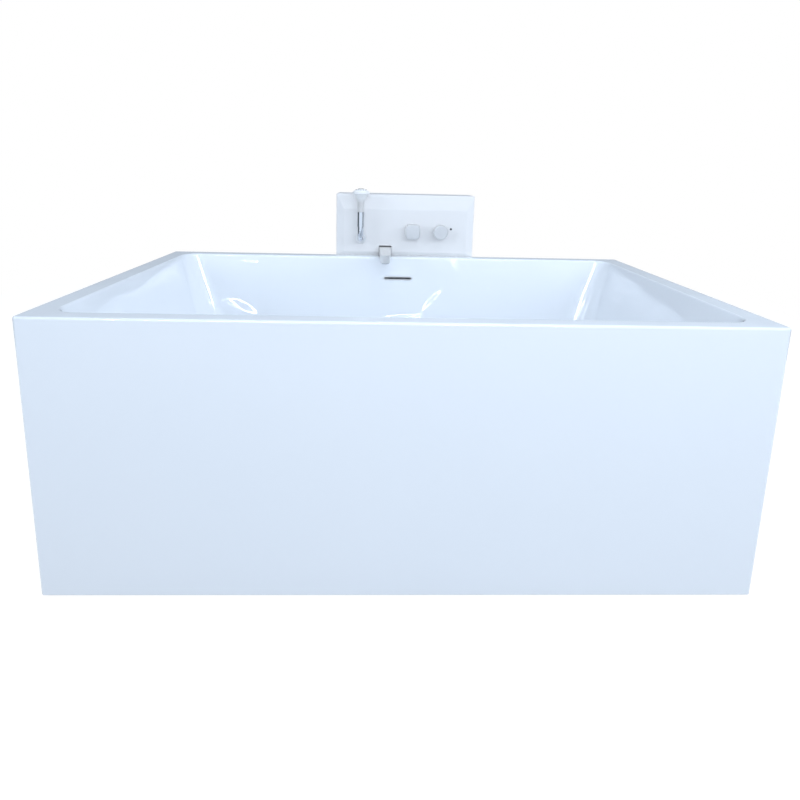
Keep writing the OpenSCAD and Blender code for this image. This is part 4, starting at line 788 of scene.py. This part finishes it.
def knob(name, node, body, corner):
    """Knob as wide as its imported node: a square or round plan, a rolled edge and a shallow dish."""
    edge_r, dish_in, dish_deep = 0.0035, 0.002, 0.0005
    low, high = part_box(node)
    half = (high[0] - low[0]) / 2
    depth = high[1] - low[1]
    shape = bmesh.new()
    if corner:
        ring = round_ring(shape, half, half, corner, 0, 8)
        back = bmesh.ops.contextual_create(shape, geom=ring)["faces"]
    else:
        ring = bmesh.ops.create_circle(shape, segments=64, radius=half, cap_ends=True)["verts"]
        back = list(ring[0].link_faces)
    grown = bmesh.ops.extrude_face_region(shape, geom=back)["geom"]
    front = [g for g in grown if isinstance(g, bmesh.types.BMFace)]
    bmesh.ops.translate(shape, vec=(0, 0, depth), verts=front[0].verts)
    bmesh.ops.bevel(
        shape, geom=list(front[0].edges), offset=edge_r, segments=5, profile=0.5, affect="EDGES",
        material=-1,
    )
    front = [f for f in shape.faces if f.normal.z > 0.99 and len(f.verts) > 4]
    for deep in (0, dish_deep):
        bmesh.ops.inset_region(
            shape, faces=front, thickness=dish_in, depth=-deep, use_even_offset=True
        )
    bmesh.ops.recalc_face_normals(shape, faces=shape.faces)
    bmesh.ops.rotate(shape, matrix=Matrix.Rotation(pi / 2, 3, "X"), verts=shape.verts)
    bmesh.ops.translate(
        shape, vec=((low[0] + high[0]) / 2, high[1], (low[2] + high[2]) / 2), verts=shape.verts
    )
    piece = make_piece(shape, name, satin, body)
    settle(piece)
    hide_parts(node)


knob("square_knob", "flow_knob", "flow_control", 0.014)
knob("round_knob", "temperature_knob", "temperature_control", 0)


# ---------- Spout ----------
# A cast spout that narrows to a round nose and falls a little on its way. Its edges are
# eased, and the aerator is screwed up into the nose.

nose_r = 0.015
nose_y = spout_low[1] + nose_r
root_y, root_t = 0.411, 0.002
root_half = (spout_high[0] - spout_low[0]) / 2
spout_x = (spout_low[0] + spout_high[0]) / 2
spout_root_h, spout_nose_h = 0.024, 0.025
spout_edge, steep = 0.003, radians(40)
shape = bmesh.new()
for z in (spout_low[2], spout_low[2] + spout_nose_h):
    ring = bmesh.ops.create_circle(shape, segments=40, radius=nose_r)["verts"]
    bmesh.ops.translate(shape, vec=(spout_x, nose_y, z), verts=ring)
root = bmesh.ops.create_cube(shape, size=1)["verts"]
bmesh.ops.scale(shape, vec=(2 * root_half, root_t, spout_root_h), verts=root)
bmesh.ops.translate(
    shape, vec=(spout_x, root_y - root_t / 2, spout_high[2] - spout_root_h / 2), verts=root
)
hull = bmesh.ops.convex_hull(shape, input=shape.verts)
bmesh.ops.delete(shape, geom=list({*hull["geom_interior"], *hull["geom_unused"]}), context="VERTS")
bmesh.ops.dissolve_limit(
    shape, angle_limit=radians(1), verts=shape.verts, edges=shape.edges, use_dissolve_boundaries=False
)
bmesh.ops.recalc_face_normals(shape, faces=shape.faces)
rims = []
for edge in shape.edges:
    near_y, far_y = sorted(v.co.y for v in edge.verts)
    shown = far_y < root_y - root_t / 2 or near_y < root_y - 5 * root_t
    if shown and len(edge.link_faces) == 2 and edge.calc_face_angle(0) > steep:
        rims.append(edge)
bmesh.ops.bevel(
    shape, geom=rims, offset=spout_edge, segments=4, profile=0.5, affect="EDGES", material=-1,
    clamp_overlap=True,
)
spout_cast = make_piece(shape, "spout_cast", pearl_chrome)
settle(spout_cast)
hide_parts("spout")
dress(grey_plastic, "aerator")


# ---------- Hand shower ----------
# A chromed elbow comes out of the console and turns up into a cup. The satin handset drops
# its threaded spigot into the cup, and flares at the top to a domed spray plate.

dress(chrome, "handset_holder", "handset_connector")
dress(satin, "holder_rosette")
satin_grey = plain_plastic("satin_grey", (0.65, 0.63, 0.61), (0.63, 0.61, 0.59), 0.36, 700, 0.00005)
grip_low, grip_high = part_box("handset_body")
shower_axis = ((grip_low[0] + grip_high[0]) / 2, (grip_low[1] + grip_high[1]) / 2, 0)
head_r = (grip_high[0] - grip_low[0]) / 2
grip_r, grip_edge, head_edge = 0.0114, 0.001, 0.0006
flare_low_z, flare_h, flare_steps, flare_power = grip_high[2] - 0.034, 0.030, 16, 1.8
# Height up the flare over which the painted light on the head fades in.
painted_light_rise = 0.016

# Painted light: the handset's colour is mixed towards a pale tone up its flare, so the head reads paler. This
# stands in for light that the downward-facing flare doesn't get.
tree = satin_grey.node_tree
satin_surface = next(n for n in tree.nodes if n.type == "BSDF_PRINCIPLED")
satin_colour = satin_surface.inputs["Base Color"].links[0].from_socket
place = tree.nodes.new("ShaderNodeTexCoord")
up = tree.nodes.new("ShaderNodeSeparateXYZ")
head_light_fade = tree.nodes.new("ShaderNodeMapRange")
head_light_fade.inputs["From Min"].default_value = flare_low_z
head_light_fade.inputs["From Max"].default_value = flare_low_z + painted_light_rise
head_light_fade.inputs["To Max"].default_value = 0.85
painted_head_light = tree.nodes.new("ShaderNodeMix")
painted_head_light.data_type = "RGBA"
painted_head_light.inputs["B"].default_value = (0.93, 0.92, 0.90, 1)
tree.links.new(place.outputs["Object"], up.inputs[0])
tree.links.new(up.outputs["Z"], head_light_fade.inputs["Value"])
tree.links.new(head_light_fade.outputs[0], painted_head_light.inputs["Factor"])
tree.links.new(satin_colour, painted_head_light.inputs["A"])
tree.links.new(painted_head_light.outputs["Result"], satin_surface.inputs["Base Color"])

profile = [(0, grip_low[2]), (grip_r - grip_edge, grip_low[2]), (grip_r, grip_low[2] + grip_edge)]
for step in range(flare_steps + 1):
    share = step / flare_steps
    flared = grip_r + (head_r - grip_r) * share ** flare_power
    profile.append((flared, flare_low_z + flare_h * share))
profile += [(head_r, grip_high[2] - head_edge), (head_r - head_edge, grip_high[2]), (0, grip_high[2])]
shape = turned(profile, shower_axis)
shower_grip = make_piece(shape, "shower_grip", satin_grey, "hand_shower")
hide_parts("handset_body")
dress(satin_grey, "spray_plate")
dress(black_rubber, "spray_nozzles")
